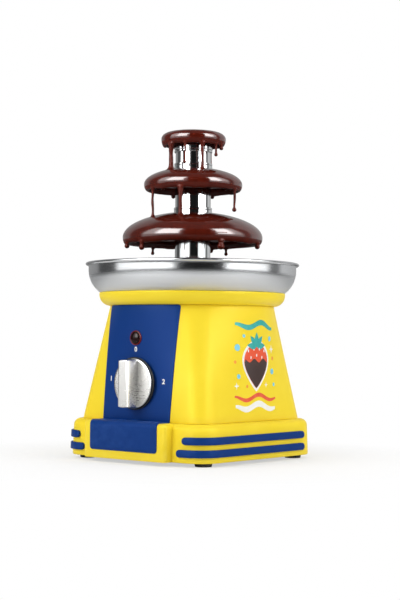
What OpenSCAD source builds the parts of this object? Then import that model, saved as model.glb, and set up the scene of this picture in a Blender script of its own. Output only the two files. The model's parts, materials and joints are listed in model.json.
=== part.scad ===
// Table-top chocolate fountain: moulded base with heater and motor, steel bowl,
// and a lift-off tower of three tiers that an auger feeds. Millimetres.
// The origin is on the table under the tower axis, +Z is up and the front faces -Y.

/* [Feet and base plate] */
// Height of a rubber foot below the plinth
foot_h = 3.5; // [2:0.5:8]
// Radius of a rubber foot
foot_r = 8; // [5:0.5:10]
// Distance of a foot from the plinth's side faces
foot_inset_x = 14; // [12:0.5:20]
// Distance of a foot from the plinth's front and rear faces
foot_inset_y = 18; // [12:0.5:24]
// Radius of a foot's stud
foot_stud_r = 3; // [2:0.25:4]
// Thickness of the base plate
plate_t = 2.5; // [1.5:0.25:4]
// Gap between the base plate and the plinth wall
plate_gap = 0.4; // [0.2:0.1:1]
// Distance of a base plate screw from the plinth's side face
boss_inset = 12; // [11:0.5:15]
// Distance of a base plate screw from the middle of its side
boss_y = 28; // [20:1:36]
// Radius of a screw boss
boss_r = 5; // [3.5:0.25:6]

/* [Plinth] */
// Distance that the plinth stands out from the body's foot
plinth_step = 7; // [5:0.5:12]
// Height of the plinth
plinth_h = 33.5; // [28:0.5:44]
// Corner radius of the plinth, seen from above
plinth_corner = 22; // [14:0.5:30]
// Radius of the plinth's rounded shoulder
plinth_round = 6; // [3:0.5:8]
// Wall of the plinth
plinth_wall = 3; // [2:0.25:4]
// Half width of the apron at the front
apron_half = 49.5; // [46:0.5:58]
// Distance that the apron stands out from the plinth
apron_out = 10; // [5:0.5:12]
// Corner radius of the apron, seen from above
apron_corner = 4.5; // [4:0.25:6]
// Radius of the apron's rounded top edge
apron_round = 3.4; // [2:0.2:3.8]

/* [Stripes] */
// Height of a stripe
stripe_h = 6.6; // [4:0.2:8]
// Distance that a stripe stands out
stripe_out = 2.3; // [0.8:0.1:3]
// Height of the lower stripe's middle above the plinth's bottom
stripe_low = 8.4; // [7:0.2:10]
// Distance between the two stripes
stripe_step = 11; // [9:0.2:14]
// Distance from the middle to the upper stripe's front end
stripe_upper_x = 62; // [58:0.5:66]
// Distance from the middle to the lower stripe's front end
stripe_lower_x = 56; // [54:0.5:60]
// Distance from the middle to a stripe's rear end
stripe_rear_y = 62; // [50:1:66]

/* [Body] */
// Height of the body between plinth and collar
body_h = 105; // [90:1:125]
// Half width of the body at its square foot
body_half = 77; // [72:0.5:79]
// Corner radius of the body at its square foot
body_corner = 18.5; // [12:0.5:26]
// Radius of the body at its round top
body_top_r = 77; // [72:0.5:82]
// Wall of the body
body_wall = 3; // [2.2:0.2:4]
// Width of the flange inside the body's foot
foot_flange_w = 11; // [9:0.5:16]
// Width of the flange inside the body's top
top_flange_w = 6; // [5.5:0.25:8]
// Thickness of both flanges
flange_t = 6; // [4:0.5:8]

/* [Front panel] */
// Half width of the blue panel and of the plate below it
panel_half = 41; // [30:0.5:44]
// Thickness of the panel on the body's front
panel_t = 1; // [0.8:0.1:1.6]
// Thickness of the blue plate on the apron
front_plate_t = 1.6; // [1:0.1:2.2]
// Height of that plate's lower edge above the plinth's bottom
front_plate_low = 7.5; // [4:0.5:12]
// Depth of the flat spots under the lamp and the switch nut
spot_depth = 0.4; // [0.3:0.1:0.6]

/* [Lamp] */
// Height of the lamp above the plinth
lamp_rise = 75; // [66:1:86]
// Radius of the lamp lens
lamp_r = 6.7; // [5:0.1:8]
// Thickness of the lens flange
lamp_flange_t = 1.2; // [0.8:0.1:2]
// Width of the flat rim round the lens dome
lamp_rim_w = 0.7; // [0.4:0.1:1.2]
// Height of the lens dome over its flange
lamp_dome_h = 2.6; // [1.5:0.1:4]
// Radius of the lamp's body behind the panel
lamp_body_r = 4.6; // [3:0.1:4.8]
// Length of the lamp's body
lamp_body_l = 22; // [14:1:30]

/* [Knob and switch] */
// Height of the knob above the plinth
knob_rise = 34; // [28:1:38]
// Radius of the knob's black skirt
skirt_r = 23.8; // [18:0.2:26]
// Thickness of the skirt
skirt_t = 1.8; // [1.2:0.1:3]
// Gap between the panel and the skirt
skirt_gap = 0.8; // [0.5:0.1:2]
// Radius of the knob's silver cap
cap_r = 22.4; // [16:0.2:25]
// Thickness of the cap's disc
cap_t = 2.4; // [1.6:0.1:4]
// Height of the grip bar over the disc
bar_h = 12.4; // [6:0.2:15]
// Half width of the grip bar at the disc
bar_foot_half = 6.8; // [5.5:0.1:9]
// Half width of the grip bar at its front
bar_front_half = 5.4; // [4:0.1:5.4]
// Radius of the switch spindle
spindle_r = 3; // [2:0.1:3.2]
// Depth of the spindle's end in the grip bar
spindle_grip = 5; // [3:0.5:6]
// Radius of the switch's threaded bush
switch_bush_r = 4.6; // [4.2:0.1:5.5]
// Width of the switch body
switch_w = 30; // [24:0.5:34]
// Depth of the switch body
switch_d = 20; // [14:0.5:24]
// Distance from the body's face to the switch's seat
switch_seat = 6; // [5:0.25:8]
// Thickness of the switch nut
switch_nut_t = 1.9; // [1.2:0.1:2.2]
// Corner radius of the switch nut
switch_nut_r = 7; // [6.2:0.1:8]

/* [Collar] */
// Height of the collar
collar_h = 14; // [12.5:0.5:18]
// Distance that the collar's rounded edge stands out over the body
collar_out = 10.5; // [8:0.5:12]
// Wall of the collar
collar_wall = 5; // [3:0.25:7]
// Thickness of the collar's flange
collar_flange_t = 3.5; // [2.5:0.25:4.5]
// Width of the collar's flange, from the body's top radius inwards
collar_flange_w = 17; // [15:0.5:20]

/* [Bowl] */
// Outer radius of the bowl's wall
bowl_r = 97.8; // [94:0.2:104]
// Distance that the rolled rim stands out from the wall
rim_out = 2.2; // [1.5:0.1:3]
// Radius of the rolled rim's section
rim_roll_r = 2; // [1.5:0.1:2.5]
// Height of the bowl
bowl_h = 33; // [30:0.5:45]
// Radius of the curve between wall and floor
bowl_curve = 26; // [18:0.5:28]
// Thickness of the bowl's sheet
bowl_wall = 1.2; // [0.8:0.1:2]
// Distance that the bowl sinks into the collar
bowl_sink = 6.5; // [5:0.25:8]
// Depth of the chocolate in the bowl
pool_depth = 14; // [8:0.5:18]

/* [Heater] */
// Inner radius of the heater ring
heater_inner_r = 30; // [24:0.5:36]
// Gap between the heater ring and the collar's flange
heater_edge_gap = 4; // [2:0.5:8]
// Thickness of the plate under the heater
heater_plate_t = 1.5; // [1:0.1:2.5]
// Width of the plate's edge that grips the collar's flange
heater_plate_grip = 5; // [3:0.5:7]
// Radius of the thermostat
thermostat_r = 8; // [6:0.5:10]
// Height of the thermostat
thermostat_h = 9; // [6:0.5:12]
// Radius of the thermal fuse
fuse_r = 3; // [2:0.25:5]
// Length of the thermal fuse
fuse_l = 18; // [12:1:30]

/* [Drive] */
// Radius of the drive shaft
shaft_r = 3; // [2:0.1:3.5]
// Gap round a turning shaft
run_gap = 0.05; // [0.02:0.01:0.08]
// Outer radius of the shaft bush
bush_r = 7; // [6:0.1:8]
// Radius of the bush's flange
bush_flange_r = 11; // [9.5:0.1:13]
// Thickness of the bush's flange
bush_flange_t = 2; // [1:0.1:2.4]
// Length of the bush's thread below the heater plate
bush_thread_l = 8; // [6:0.5:12]
// Corner radius of the bush nut
bush_nut_r = 11; // [9.5:0.1:14]
// Thickness of the bush nut
bush_nut_t = 5; // [3:0.5:6]
// Outer radius of the shaft seal
seal_r = 5; // [4.4:0.1:5.5]
// Thickness of the shaft seal
seal_t = 3; // [2:0.5:5]
// Corner radius of the hex coupling
hex_r = 4.6; // [4.3:0.1:5]
// Height of the hex coupling
hex_h = 12; // [8:0.5:16]
// Gap round the hex coupling in the auger
hex_gap = 0.4; // [0.3:0.05:0.6]

/* [Motor] */
// Distance from the bowl's underside down to the motor bracket
bracket_drop = 38; // [34:1:44]
// Thickness of the motor bracket
bracket_t = 2; // [1.5:0.25:3]
// Half width of the motor bracket
bracket_half = 45; // [42:0.5:48]
// Distance of a support post from both middle planes
post_at = 38; // [34:0.5:40]
// Radius of a support post
post_r = 4; // [3:0.25:5]
// Width of the gearbox
gearbox_w = 58; // [48:1:62]
// Depth of the gearbox
gearbox_d = 46; // [42:1:56]
// Height of the gearbox
gearbox_h = 22; // [16:1:28]
// Depth of the shaft's end in the gearbox
shaft_in_gearbox = 14; // [8:1:15]
// Radius of the motor's case
motor_r = 20; // [15:0.5:21]
// Length of the motor's case
motor_l = 36; // [26:1:42]

/* [Cord inlet] */
// Height of the inlet above the plinth's bottom
gland_rise = 15; // [13:0.5:18]
// Radius of the inlet's bore
gland_bore_r = 3.6; // [3:0.1:4.2]
// Radius of the gland's sleeve
gland_r = 6; // [5.2:0.1:7]
// Radius of the gland's flange
gland_flange_r = 9; // [8:0.25:10]
// Thickness of the gland's flange
gland_flange_t = 3; // [2:0.25:4]
// Thickness of the gland's nut
gland_nut_t = 3; // [2:0.25:4]
// Length, width and height of the terminal block
// Distance of the terminal block's middle from the plinth's rear wall
terminal_inset = 24; // [20:1:30]
terminal_l = 32; // [20:1:44]
// Width of the terminal block
terminal_w = 14; // [10:0.5:18]
// Height of the terminal block
terminal_h = 12; // [8:0.5:18]

/* [Screws] */
// Radius of a screw's shank
screw_r = 1.5; // [1.2:0.1:1.7]
// Radius of a screw's head
screw_head_r = 2.8; // [2.4:0.1:3]
// Height of a screw's head
screw_head_h = 1.8; // [1.2:0.1:2]
// Gap round a screw where it passes through
screw_gap = 0.2; // [0.1:0.05:0.4]

/* [Tower] */
// Outer radius of the tower tube
tube_r = 16.8; // [16:0.1:18]
// Wall of the tower tube
tube_wall = 1.4; // [0.8:0.1:1.8]
// Radius of the tower's foot
tower_foot_r = 24; // [22:0.5:30]
// Thickness of the tower's foot
tower_foot_t = 3; // [2.4:0.2:5]
// Height of the inlet slots over the foot
slot_h = 9; // [5:0.5:10]
// Width of an inlet slot
slot_w = 10; // [6:0.5:14]
// Radius of a peg in the bowl
peg_r = 1.8; // [1.2:0.1:2.2]
// Distance of a peg from the axis
peg_at = 20.4; // [20:0.1:21]
// Gap round a peg in the tower's foot
peg_gap = 0.4; // [0.3:0.05:0.6]
// Gap between the chocolate in the bowl and the tower's foot
pool_gap = 0.4; // [0.3:0.1:1]
// Wall of a tier's hub round the tube
hub_wall = 1.2; // [0.8:0.1:1.8]
// Wall of a tier
tier_wall = 1.6; // [1:0.1:2.4]
// Thickness of the chocolate on a tier
coat_t = 2; // [1:0.1:3]
// Height of the drip edge below a tier's rim
drip_edge_h = 6.4; // [3:0.2:8]
// Height that a hub shows over the chocolate
hub_show = 4; // [2:0.5:6]

/* [Tiers] */
// Height of the lower tier's rim over the bowl floor
low_tier_rise = 55.8; // [52:0.5:62]
// Radius of the lower tier with its chocolate
low_tier_r = 66; // [58:0.5:74]
// Crown of the lower tier over its rim
low_tier_crown = 24.5; // [18:0.5:28]
// Height of the middle tier's rim over the low tier's rim
middle_tier_step = 50.5; // [46:0.5:56]
// Radius of the middle tier with its chocolate
middle_tier_r = 46.5; // [40:0.5:52]
// Crown of the middle tier over its rim
middle_tier_crown = 16; // [12:0.5:19]
// Height of the top tier's rim over the middle tier's rim
top_tier_step = 43.3; // [39:0.1:50]
// Radius of the upper tier with its chocolate
top_tier_r = 30.6; // [27:0.2:34]
// Crown of the upper tier over its rim
top_tier_crown = 7; // [6:0.25:10]
// Radius of the upper tier's flat middle
top_tier_flat = 21; // [19:0.5:23]
// Depth of the upper tier's hub below its rim
top_hub_drop = 13; // [8:0.5:16]

/* [Streams] */
// Radius of a stream of chocolate
stream_r = 2; // [1.4:0.1:2.4]
// Radius of a drip
drip_r = 1.2; // [0.8:0.1:1.5]
// Length of a long drip
drip_l = 20; // [10:1:22]
// Depth that a stream or drip is rooted in the chocolate that it joins
stream_root = 1.5; // [1:0.1:1.8]

/* [Auger] */
// Radius of the auger's core
core_r = 7; // [6.2:0.1:8]
// Gap between the auger's flight and the tube
flight_gap = 0.8; // [0.5:0.1:1.5]
// Rise of the flight in one turn
flight_pitch = 26; // [20:1:34]
// Thickness of the flight
flight_t = 2.4; // [1.6:0.1:3.5]
// Gap between the auger and the bush below it
auger_lift_gap = 1.5; // [1:0.25:3]
// Height of the chocolate crown on the auger's top
crown_h = 2.6; // [1.6:0.2:6]
// Width of the flat rim round the crown
crown_rim_w = 1; // [0.5:0.25:3]
// Thickness of the crown at its rim
crown_edge_t = 0.8; // [0.5:0.1:1.2]

/* [Hidden] */
$fn = 96;
// Steps of the body's loft: round its outline and along its height
LOFT_SIDES = 72;
LOFT_STEPS = 3;
// How far a cutting loft goes past the body's ends
LOFT_PAST = 20;
// Steps round the circle of a shallow dome
DOME_SIDES = 480;
// Steps of a tier's outline
TIER_STEPS = 12;
// Turn of one step of the auger's flight
FLIGHT_STEP = 20;
// Depth that the flight is rooted in the core
FLIGHT_ROOT = 0.4;
// Radius of a drip's end, as a share of the drip's radius
DROP_SWELL = 1.4;
// A length that reaches past any piece
FAR = 400;
// Overshoot of a cut
EPS = 0.5;

plinth_top = foot_h + plinth_h;
plinth_half = body_half + plinth_step;
plate_top = foot_h + plate_t;
plinth_ceiling = plinth_top - plinth_wall;
body_top = plinth_top + body_h;
collar_top = body_top + collar_h;
collar_r = body_top_r + collar_out;
collar_inner_r = body_top_r - collar_flange_w;
heater_outer_r = collar_inner_r - heater_edge_gap;
collar_round = min(collar_out, collar_h);
bowl_base = collar_top - bowl_sink;
bowl_floor = bowl_base + bowl_wall;
bowl_top = bowl_base + bowl_h;
pool_top = bowl_floor + pool_depth;
heater_plate_r = collar_inner_r + heater_plate_grip;
heater_plate_base = body_top - heater_plate_t;
bush_base = heater_plate_base - bush_thread_l;
bush_top = bowl_floor + bush_flange_t;
bracket_z = bowl_base - bracket_drop - bracket_t;
post_l = bracket_z - plate_top;
auger_base = bush_top + auger_lift_gap;
hex_top = auger_base + hex_h;
low_tier_z = bowl_floor + low_tier_rise;
middle_tier_z = low_tier_z + middle_tier_step;
top_tier_z = middle_tier_z + top_tier_step;
tube_top = top_tier_z + top_tier_crown - coat_t;
tube_inner_r = tube_r - tube_wall;
flight_r = tube_inner_r - flight_gap;
hub_r = tube_r + hub_wall;
edge_w = coat_t + tier_wall;
knob_z = plinth_top + knob_rise;
lamp_z = plinth_top + lamp_rise;
knob_base = panel_t + skirt_gap;
cap_base = knob_base + skirt_t;
cap_face = cap_base + cap_t;
spot_z = panel_t - spot_depth;
bush_front = spot_z + switch_nut_t + 0.2;
front_tilt = atan((body_top_r - body_half) / body_h);
boss_x = plinth_half - boss_inset;
foot_x = plinth_half - foot_inset_x;
foot_y = plinth_half - foot_inset_y;
shell_screw_x = body_half - body_wall - foot_flange_w / 2;
shell_screw_y = 0.6 * body_half;
collar_screw_at = body_top_r - body_wall - top_flange_w / 2;
body_opening = body_half - body_wall - foot_flange_w;
terminal_y = plinth_half - plinth_wall - terminal_inset;
thermostat_at = (bush_nut_r + heater_outer_r) / 2;
stripe_heights = [stripe_low, stripe_low + stripe_step];
stripe_ends = [stripe_lower_x, stripe_upper_x];
// Streams that reach the tier below: direction in degrees, share of stream_r
top_streams = [[-97, 1.25], [-33, 0.95], [96, 1.1]];
middle_streams = [[-65, 1.05], [-108, 0.65], [140, 0.95]];
// Drips that end in the air: direction in degrees, share of drip_l, share of drip_r
top_drips = [[-66, 1, 0.92], [-1, 0.6, 0.92], [19, 0.25, 1]];
middle_drips = [[12, 1.05, 1.17], [60, 0.4, 1], [205, 0.65, 1]];
low_drips = [
    [-117, 0.15, 1.33], [-97, 0.25, 1.33], [-26, 0.2, 2.17],
    [17, 0.15, 1.33], [80, 0.25, 1.25], [150, 0.2, 1.42]
];

YELLOW = "#f4d92e";
BLUE = "#1c3f86";
STEEL = "#c6c9cb";
CHROME = "#dadcde";
DARK = "#26272a";
BRASS = "#b59a4c";
CHOCOLATE = "#4f1d12";

function lerp(a, b, t) = a + (b - a) * t;

// Distance from the axis to a rounded square's outline in direction a
function square_reach(a, half, corner) =
    let (
        from_corner = abs(((a % 90) + 90) % 90 - 45),
        from_face = 45 - from_corner,
        diagonal = (half - corner) * sqrt(2)
    )
    half * tan(from_face) <= half - corner
        ? half / cos(from_face)
        : diagonal * cos(from_corner) + sqrt(corner ^ 2 - (diagonal * sin(from_corner)) ^ 2);

// Distance from the axis to the body's surface, moved out by grow, at the share t of its height
function body_reach(a, t, grow) =
    lerp(square_reach(a, body_half + grow, body_corner + grow), body_top_r + grow, t);

// Distance from the axis to the middle of the body's front at height z
function front_y(z) = lerp(body_half, body_top_r, (z - plinth_top) / body_h);

// Places its children at the four combinations of signs
module four(x, y) {
    for (sx = [-1, 1], sy = [-1, 1])
        translate([sx * x, sy * y, 0])
            children();
}

// Places its children on the body's front at height z, with +Z pointing out
module on_front(z) {
    translate([0, -front_y(z), z])
        rotate([90 + front_tilt, 0, 0])
            children();
}

// Places its children on the plinth's rear face at the cord inlet, with +Z pointing out
module on_rear() {
    translate([0, plinth_half, foot_h + gland_rise])
        rotate([-90, 0, 0])
            children();
}

// A cylinder between two heights
module post(r, z0, z1) {
    translate([0, 0, z0])
        cylinder(r = r, h = z1 - z0);
}

// A tube between two heights
module ring(outer, inner, z0, z1) {
    difference() {
        post(outer, z0, z1);
        post(inner, z0 - EPS, z1 + EPS);
    }
}

// Outline of a rectangle with round corners
module round_rect(hx, hy, r) {
    square([2 * hx, 2 * (hy - r)], center = true);
    square([2 * (hx - r), 2 * hy], center = true);
    for (sx = [-1, 1], sy = [-1, 1])
        translate([sx * (hx - r), sy * (hy - r)])
            circle(r);
}

// A block with round upright edges and a rounded top edge
module round_block(hx, hy, r, h, f) {
    linear_extrude(h - f)
        round_rect(hx, hy, r);
    linear_extrude(h)
        round_rect(hx - f, hy - f, r - f);
    translate([0, 0, h - f]) {
        for (s = [-1, 1]) {
            translate([0, s * (hy - f), 0])
                rotate([0, 90, 0])
                    cylinder(r = f, h = 2 * (hx - r), center = true);
            translate([s * (hx - f), 0, 0])
                rotate([90, 0, 0])
                    cylinder(r = f, h = 2 * (hy - r), center = true);
        }
        four(hx - r, hy - r)
            rotate_extrude()
                translate([r - f, 0])
                    intersection() {
                        circle(f);
                        translate([0, -f])
                            square(2 * f);
                    }
    }
}

// A screw that points up, with the underside of its head at height z
module screw(z, length) {
    post(screw_head_r, z - screw_head_h, z);
    post(screw_r, z, z + length);
}

// Outline of the plinth and its apron, moved out by grow
module plinth_outline(grow) {
    round_rect(plinth_half + grow, plinth_half + grow, plinth_corner + grow);
    translate([0, -plinth_half / 2 - apron_out / 2])
        round_rect(apron_half + grow, (plinth_half + apron_out) / 2 + grow, apron_corner + grow);
}

// The apron as a block that reaches back under the body
module apron_block() {
    translate([0, -(plinth_half + apron_out) / 2, foot_h])
        round_block(apron_half, (plinth_half + apron_out) / 2, apron_corner, plinth_h, apron_round);
}

// Profile of the apron from the axis forward, moved out by grow
module apron_profile(grow) {
    reach = plinth_half + apron_out;
    square([reach + grow, plinth_h - apron_round]);
    square([reach - apron_round, plinth_h + grow]);
    translate([reach - apron_round, plinth_h - apron_round])
        circle(apron_round + grow);
}

// Bar along the apron's front with the profile of its children, as wide as the blue panel
module along_apron() {
    translate([0, 0, foot_h])
        rotate([90, 0, -90])
            linear_extrude(2 * panel_half, center = true)
                children();
}

// Profile of everything in front of the body's panel and above the front plate's lower edge
module front_plate_space() {
    translate([front_y(plinth_top) + panel_t, front_plate_low])
        square(FAR);
}

// A disc of radius r with a dome on it, inside a flat rim
module domed_disc(r, rim_w, disc_t, dome_h) {
    foot_r = r - rim_w;
    dome_r = (foot_r ^ 2 + dome_h ^ 2) / (2 * dome_h);
    rotate_extrude() {
        square([r, disc_t]);
        intersection() {
            translate([0, disc_t + dome_h - dome_r])
                circle(dome_r, $fn = DOME_SIDES);
            square([r, disc_t + dome_h]);
        }
    }
}

// The body's solid, moved out by grow, from its foot to its top and past both ends by past
module body_loft(grow, past = 0) {
    z0 = plinth_top - past;
    z1 = body_top + past;
    rings = [
        for (k = [0:LOFT_STEPS], i = [0:LOFT_SIDES - 1])
            let (
                a = i * 360 / LOFT_SIDES,
                z = lerp(z0, z1, k / LOFT_STEPS),
                r = body_reach(a, (z - plinth_top) / body_h, grow)
            )
            [r * cos(a), r * sin(a), z]
    ];
    last = LOFT_STEPS * LOFT_SIDES;
    foot_middle = len(rings);
    top_middle = foot_middle + 1;
    caps = [
        for (i = [0:LOFT_SIDES - 1], top = [false, true])
            let (j = (i + 1) % LOFT_SIDES)
            top ? [top_middle, last + j, last + i] : [foot_middle, i, j]
    ];
    sides = [
        for (k = [0:LOFT_STEPS - 1], i = [0:LOFT_SIDES - 1], half = [0, 1])
            let (j = (i + 1) % LOFT_SIDES, low = k * LOFT_SIDES, high = low + LOFT_SIDES)
            half == 0 ? [low + i, high + i, high + j] : [low + i, high + j, low + j]
    ];
    polyhedron(concat(rings, [[0, 0, z0], [0, 0, z1]]), concat(caps, sides));
}

// The strip at the front of the body where the panel lies
module panel_space() {
    translate([-panel_half, -FAR, 0])
        cube([2 * panel_half, FAR, FAR]);
}

// Section of the bowl's outside, moved in by inset, up to height top
module bowl_section(inset, top) {
    curve_z = bowl_base + bowl_curve;
    translate([0, bowl_base + inset])
        square([bowl_r - bowl_curve, top - bowl_base - inset]);
    translate([0, curve_z])
        square([bowl_r - inset, top - curve_z]);
    intersection() {
        translate([bowl_r - bowl_curve, curve_z])
            circle(bowl_curve - inset);
        translate([0, bowl_base])
            square([bowl_r, bowl_curve]);
    }
}

// Outline of a tier's crown, moved in by inset: from the rim up to its flat middle and the axis
function crown_line(z, r, crown, flat, inset) = concat(
    [
        for (i = [0:TIER_STEPS])
            let (a = 90 * i / TIER_STEPS)
            [flat + (r - inset - flat) * cos(a), z + (crown - inset) * sin(a)]
    ],
    flat > 0 ? [[0, z + crown - inset]] : []
);

// Outline of the drip edge under a tier's rim: from its lowest point up to the rim
function edge_line(z, r) = [
    for (i = [TIER_STEPS:-1:1])
        let (a = 90 * i / TIER_STEPS)
        [r - edge_w + edge_w * cos(a), z - drip_edge_h * sin(a)]
];

// The same points in the other order
function reversed(list) = [for (i = [len(list) - 1:-1:0]) list[i]];

// A tier's shell with its hub, which runs from hub_z0 to hub_z1 round the tube
module tier(z, r, crown, flat, hub_z0, hub_z1) {
    difference() {
        union() {
            rotate_extrude()
                polygon(concat(
                    crown_line(z, r, crown, flat, coat_t),
                    reversed(crown_line(z, r, crown, flat, coat_t + tier_wall))
                ));
            post(hub_r, hub_z0, hub_z1);
        }
        post(tube_r, hub_z0 - FAR, hub_z1 + EPS);
    }
}

// The chocolate on a tier, with a hole of radius hole_r round the tower's axis
module coat(z, r, crown, flat, hole_r) {
    difference() {
        rotate_extrude()
            polygon(concat(
                [[r - coat_t, z], [r - edge_w, z]],
                edge_line(z, r),
                crown_line(z, r, crown, flat, 0),
                reversed(crown_line(z, r, crown, flat, coat_t))
            ));
        post(hole_r, 0, FAR);
    }
}

// Places its children on the drip edge of a tier of radius r
module at_edge(direction, r) {
    rotate([0, 0, direction])
        translate([r - edge_w / 2, 0, 0])
            children();
}

// Columns of chocolate from a tier's edge at height z, rooted in the crown of the tier below
module streams(list, z, r, below_z, below_r, below_crown) {
    landing = below_z + below_crown * sqrt(1 - ((r - edge_w / 2) / below_r) ^ 2);
    for (s = list)
        at_edge(s[0], r)
            post(s[1] * stream_r, landing - stream_root, z - drip_edge_h + stream_root);
}

// Drips that hang from a tier's edge at height z and end in a drop
module drips(list, z, r) {
    for (d = list)
        at_edge(d[0], r)
            translate([0, 0, z - drip_edge_h])
                rotate_extrude() {
                    translate([0, -d[1] * drip_l])
                        square([d[2] * drip_r, d[1] * drip_l + stream_root]);
                    translate([0, -d[1] * drip_l])
                        intersection() {
                            circle(DROP_SWELL * d[2] * drip_r);
                            translate([0, -FAR / 2])
                                square(FAR);
                        }
                }
}

module rubber_feet() {
    color(DARK)
        four(foot_x, foot_y) {
            post(foot_r, 0, foot_h);
            post(foot_stud_r, foot_h, plate_top);
        }
}

module base_plate() {
    color(DARK)
        difference() {
            translate([0, 0, foot_h])
                linear_extrude(plate_t)
                    plinth_outline(-plinth_wall - plate_gap);
            four(foot_x, foot_y)
                post(foot_stud_r, 0, plate_top + EPS);
            four(boss_x, boss_y)
                post(screw_r + screw_gap, 0, plate_top + EPS);
            four(boss_x, boss_y)
                post(screw_head_r + screw_gap, 0, foot_h + plate_t / 2);
            four(post_at, post_at)
                post(screw_r + screw_gap, 0, plate_top + EPS);
            four(post_at, post_at)
                post(screw_head_r + screw_gap, 0, foot_h + plate_t / 2);
        }
}

module base_plate_screws() {
    color(STEEL)
        four(boss_x, boss_y)
            plate_screw();
}

// A screw with its head in the base plate's counterbore
module plate_screw() {
    screw(foot_h + plate_t / 2, plate_t / 2 + plinth_h / 4);
}

module plinth() {
    color(YELLOW)
        difference() {
            union() {
                difference() {
                    union() {
                        translate([0, 0, foot_h])
                            round_block(plinth_half, plinth_half, plinth_corner, plinth_h, plinth_round);
                        apron_block();
                    }
                    translate([0, 0, foot_h - EPS])
                        linear_extrude(plinth_ceiling - foot_h + EPS)
                            plinth_outline(-plinth_wall);
                    linear_extrude(FAR)
                        round_rect(body_opening, body_opening, body_corner);
                    along_apron()
                        difference() {
                            front_plate_space();
                            apron_profile(panel_t - front_plate_t);
                        }
                }
                four(boss_x, boss_y)
                    post(boss_r, plate_top, plinth_ceiling);
            }
            four(boss_x, boss_y)
                post(screw_r, 0, plate_top + plinth_h / 4);
            four(shell_screw_x, shell_screw_y)
                post(screw_r + screw_gap, plate_top, FAR);
            on_rear()
                post(gland_r, -plinth_wall - EPS, EPS);
        }
}

module plinth_front_plate() {
    color(BLUE)
        along_apron()
            difference() {
                intersection() {
                    apron_profile(panel_t);
                    front_plate_space();
                }
                apron_profile(panel_t - front_plate_t);
            }
}

// One stripe on the right-hand side, from its front end round the corner to its rear end
module stripe(z, front_x) {
    r = stripe_h / 2;
    translate([0, 0, foot_h + z - r])
        linear_extrude(stripe_h)
            difference() {
                intersection() {
                    round_rect(plinth_half + stripe_out, plinth_half + stripe_out,
                        plinth_corner + stripe_out);
                    union() {
                        translate([front_x + r, -FAR])
                            square([FAR, FAR]);
                        square([FAR, stripe_rear_y - r]);
                    }
                }
                round_rect(plinth_half, plinth_half, plinth_corner);
            }
    translate([front_x + r, -plinth_half, foot_h + z])
        rotate([90, 0, 0])
            cylinder(r = r, h = stripe_out);
    translate([plinth_half, stripe_rear_y - r, foot_h + z])
        rotate([0, 90, 0])
            cylinder(r = r, h = stripe_out);
}

module plinth_stripes() {
    color(BLUE)
        for (side = [0, 1], i = [0, 1])
            mirror([side, 0, 0])
                stripe(stripe_heights[i], stripe_ends[i]);
}

module body_shell() {
    color(YELLOW)
        difference() {
            body_loft(0);
            difference() {
                body_loft(-body_wall, LOFT_PAST);
                // Flanges at foot and top, and the flat seat of the switch
                translate([0, 0, plinth_top - EPS])
                    linear_extrude(flange_t + EPS)
                        difference() {
                            square(FAR, center = true);
                            round_rect(body_opening, body_opening, body_corner);
                        }
                ring(FAR, collar_screw_at - top_flange_w / 2, body_top - flange_t, body_top + EPS);
                on_front(knob_z)
                    translate([0, 0, -switch_seat / 2])
                        cube([switch_w + 2, switch_w + 2, switch_seat], center = true);
            }
            four(shell_screw_x, shell_screw_y)
                post(screw_r, 0, plinth_top + flange_t + EPS);
            collar_screw_places()
                post(screw_r + screw_gap, body_top - flange_t - EPS, FAR);
            on_front(knob_z)
                post(switch_bush_r, -switch_seat - EPS, EPS);
            on_front(lamp_z)
                post(lamp_body_r, -body_wall - 2, EPS);
        }
}

module shell_screws() {
    color(STEEL)
        four(shell_screw_x, shell_screw_y)
            screw(plinth_ceiling, plinth_wall + flange_t);
}

// Places its children at the four collar screws
module collar_screw_places() {
    for (a = [45:90:315])
        rotate([0, 0, a])
            translate([collar_screw_at, 0, 0])
                children();
}

module collar_screws() {
    color(STEEL)
        collar_screw_places()
            screw(body_top - flange_t, flange_t + collar_flange_t);
}

module front_panel() {
    color(BLUE)
        difference() {
            intersection() {
                body_loft(panel_t);
                panel_space();
            }
            body_loft(0);
            on_front(knob_z) {
                post(switch_bush_r, -FAR / 4, FAR);
                post(switch_nut_r + 1, spot_z, FAR);
            }
            on_front(lamp_z) {
                post(lamp_body_r, -FAR / 4, FAR);
                post(lamp_r, spot_z, FAR);
            }
        }
}

module lamp_lens() {
    color("#5a1014")
        on_front(lamp_z)
            translate([0, 0, spot_z])
                domed_disc(lamp_r, lamp_rim_w, lamp_flange_t, lamp_dome_h);
}

module lamp_body() {
    color(DARK)
        on_front(lamp_z)
            post(lamp_body_r, spot_z - lamp_body_l, spot_z);
}

module rotary_switch() {
    color("#d8d2c2")
        on_front(knob_z)
            difference() {
                union() {
                    translate([0, 0, -switch_seat - switch_d / 2])
                        cube([switch_w, switch_w, switch_d], center = true);
                    post(switch_bush_r, -switch_seat, bush_front);
                }
                post(spindle_r + run_gap, 2 - switch_seat - switch_d, bush_front + EPS);
            }
}

module switch_nut() {
    color(BRASS)
        on_front(knob_z)
            difference() {
                translate([0, 0, spot_z])
                    cylinder(r = switch_nut_r, h = switch_nut_t, $fn = 6);
                post(switch_bush_r, spot_z - EPS, FAR);
            }
}

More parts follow.
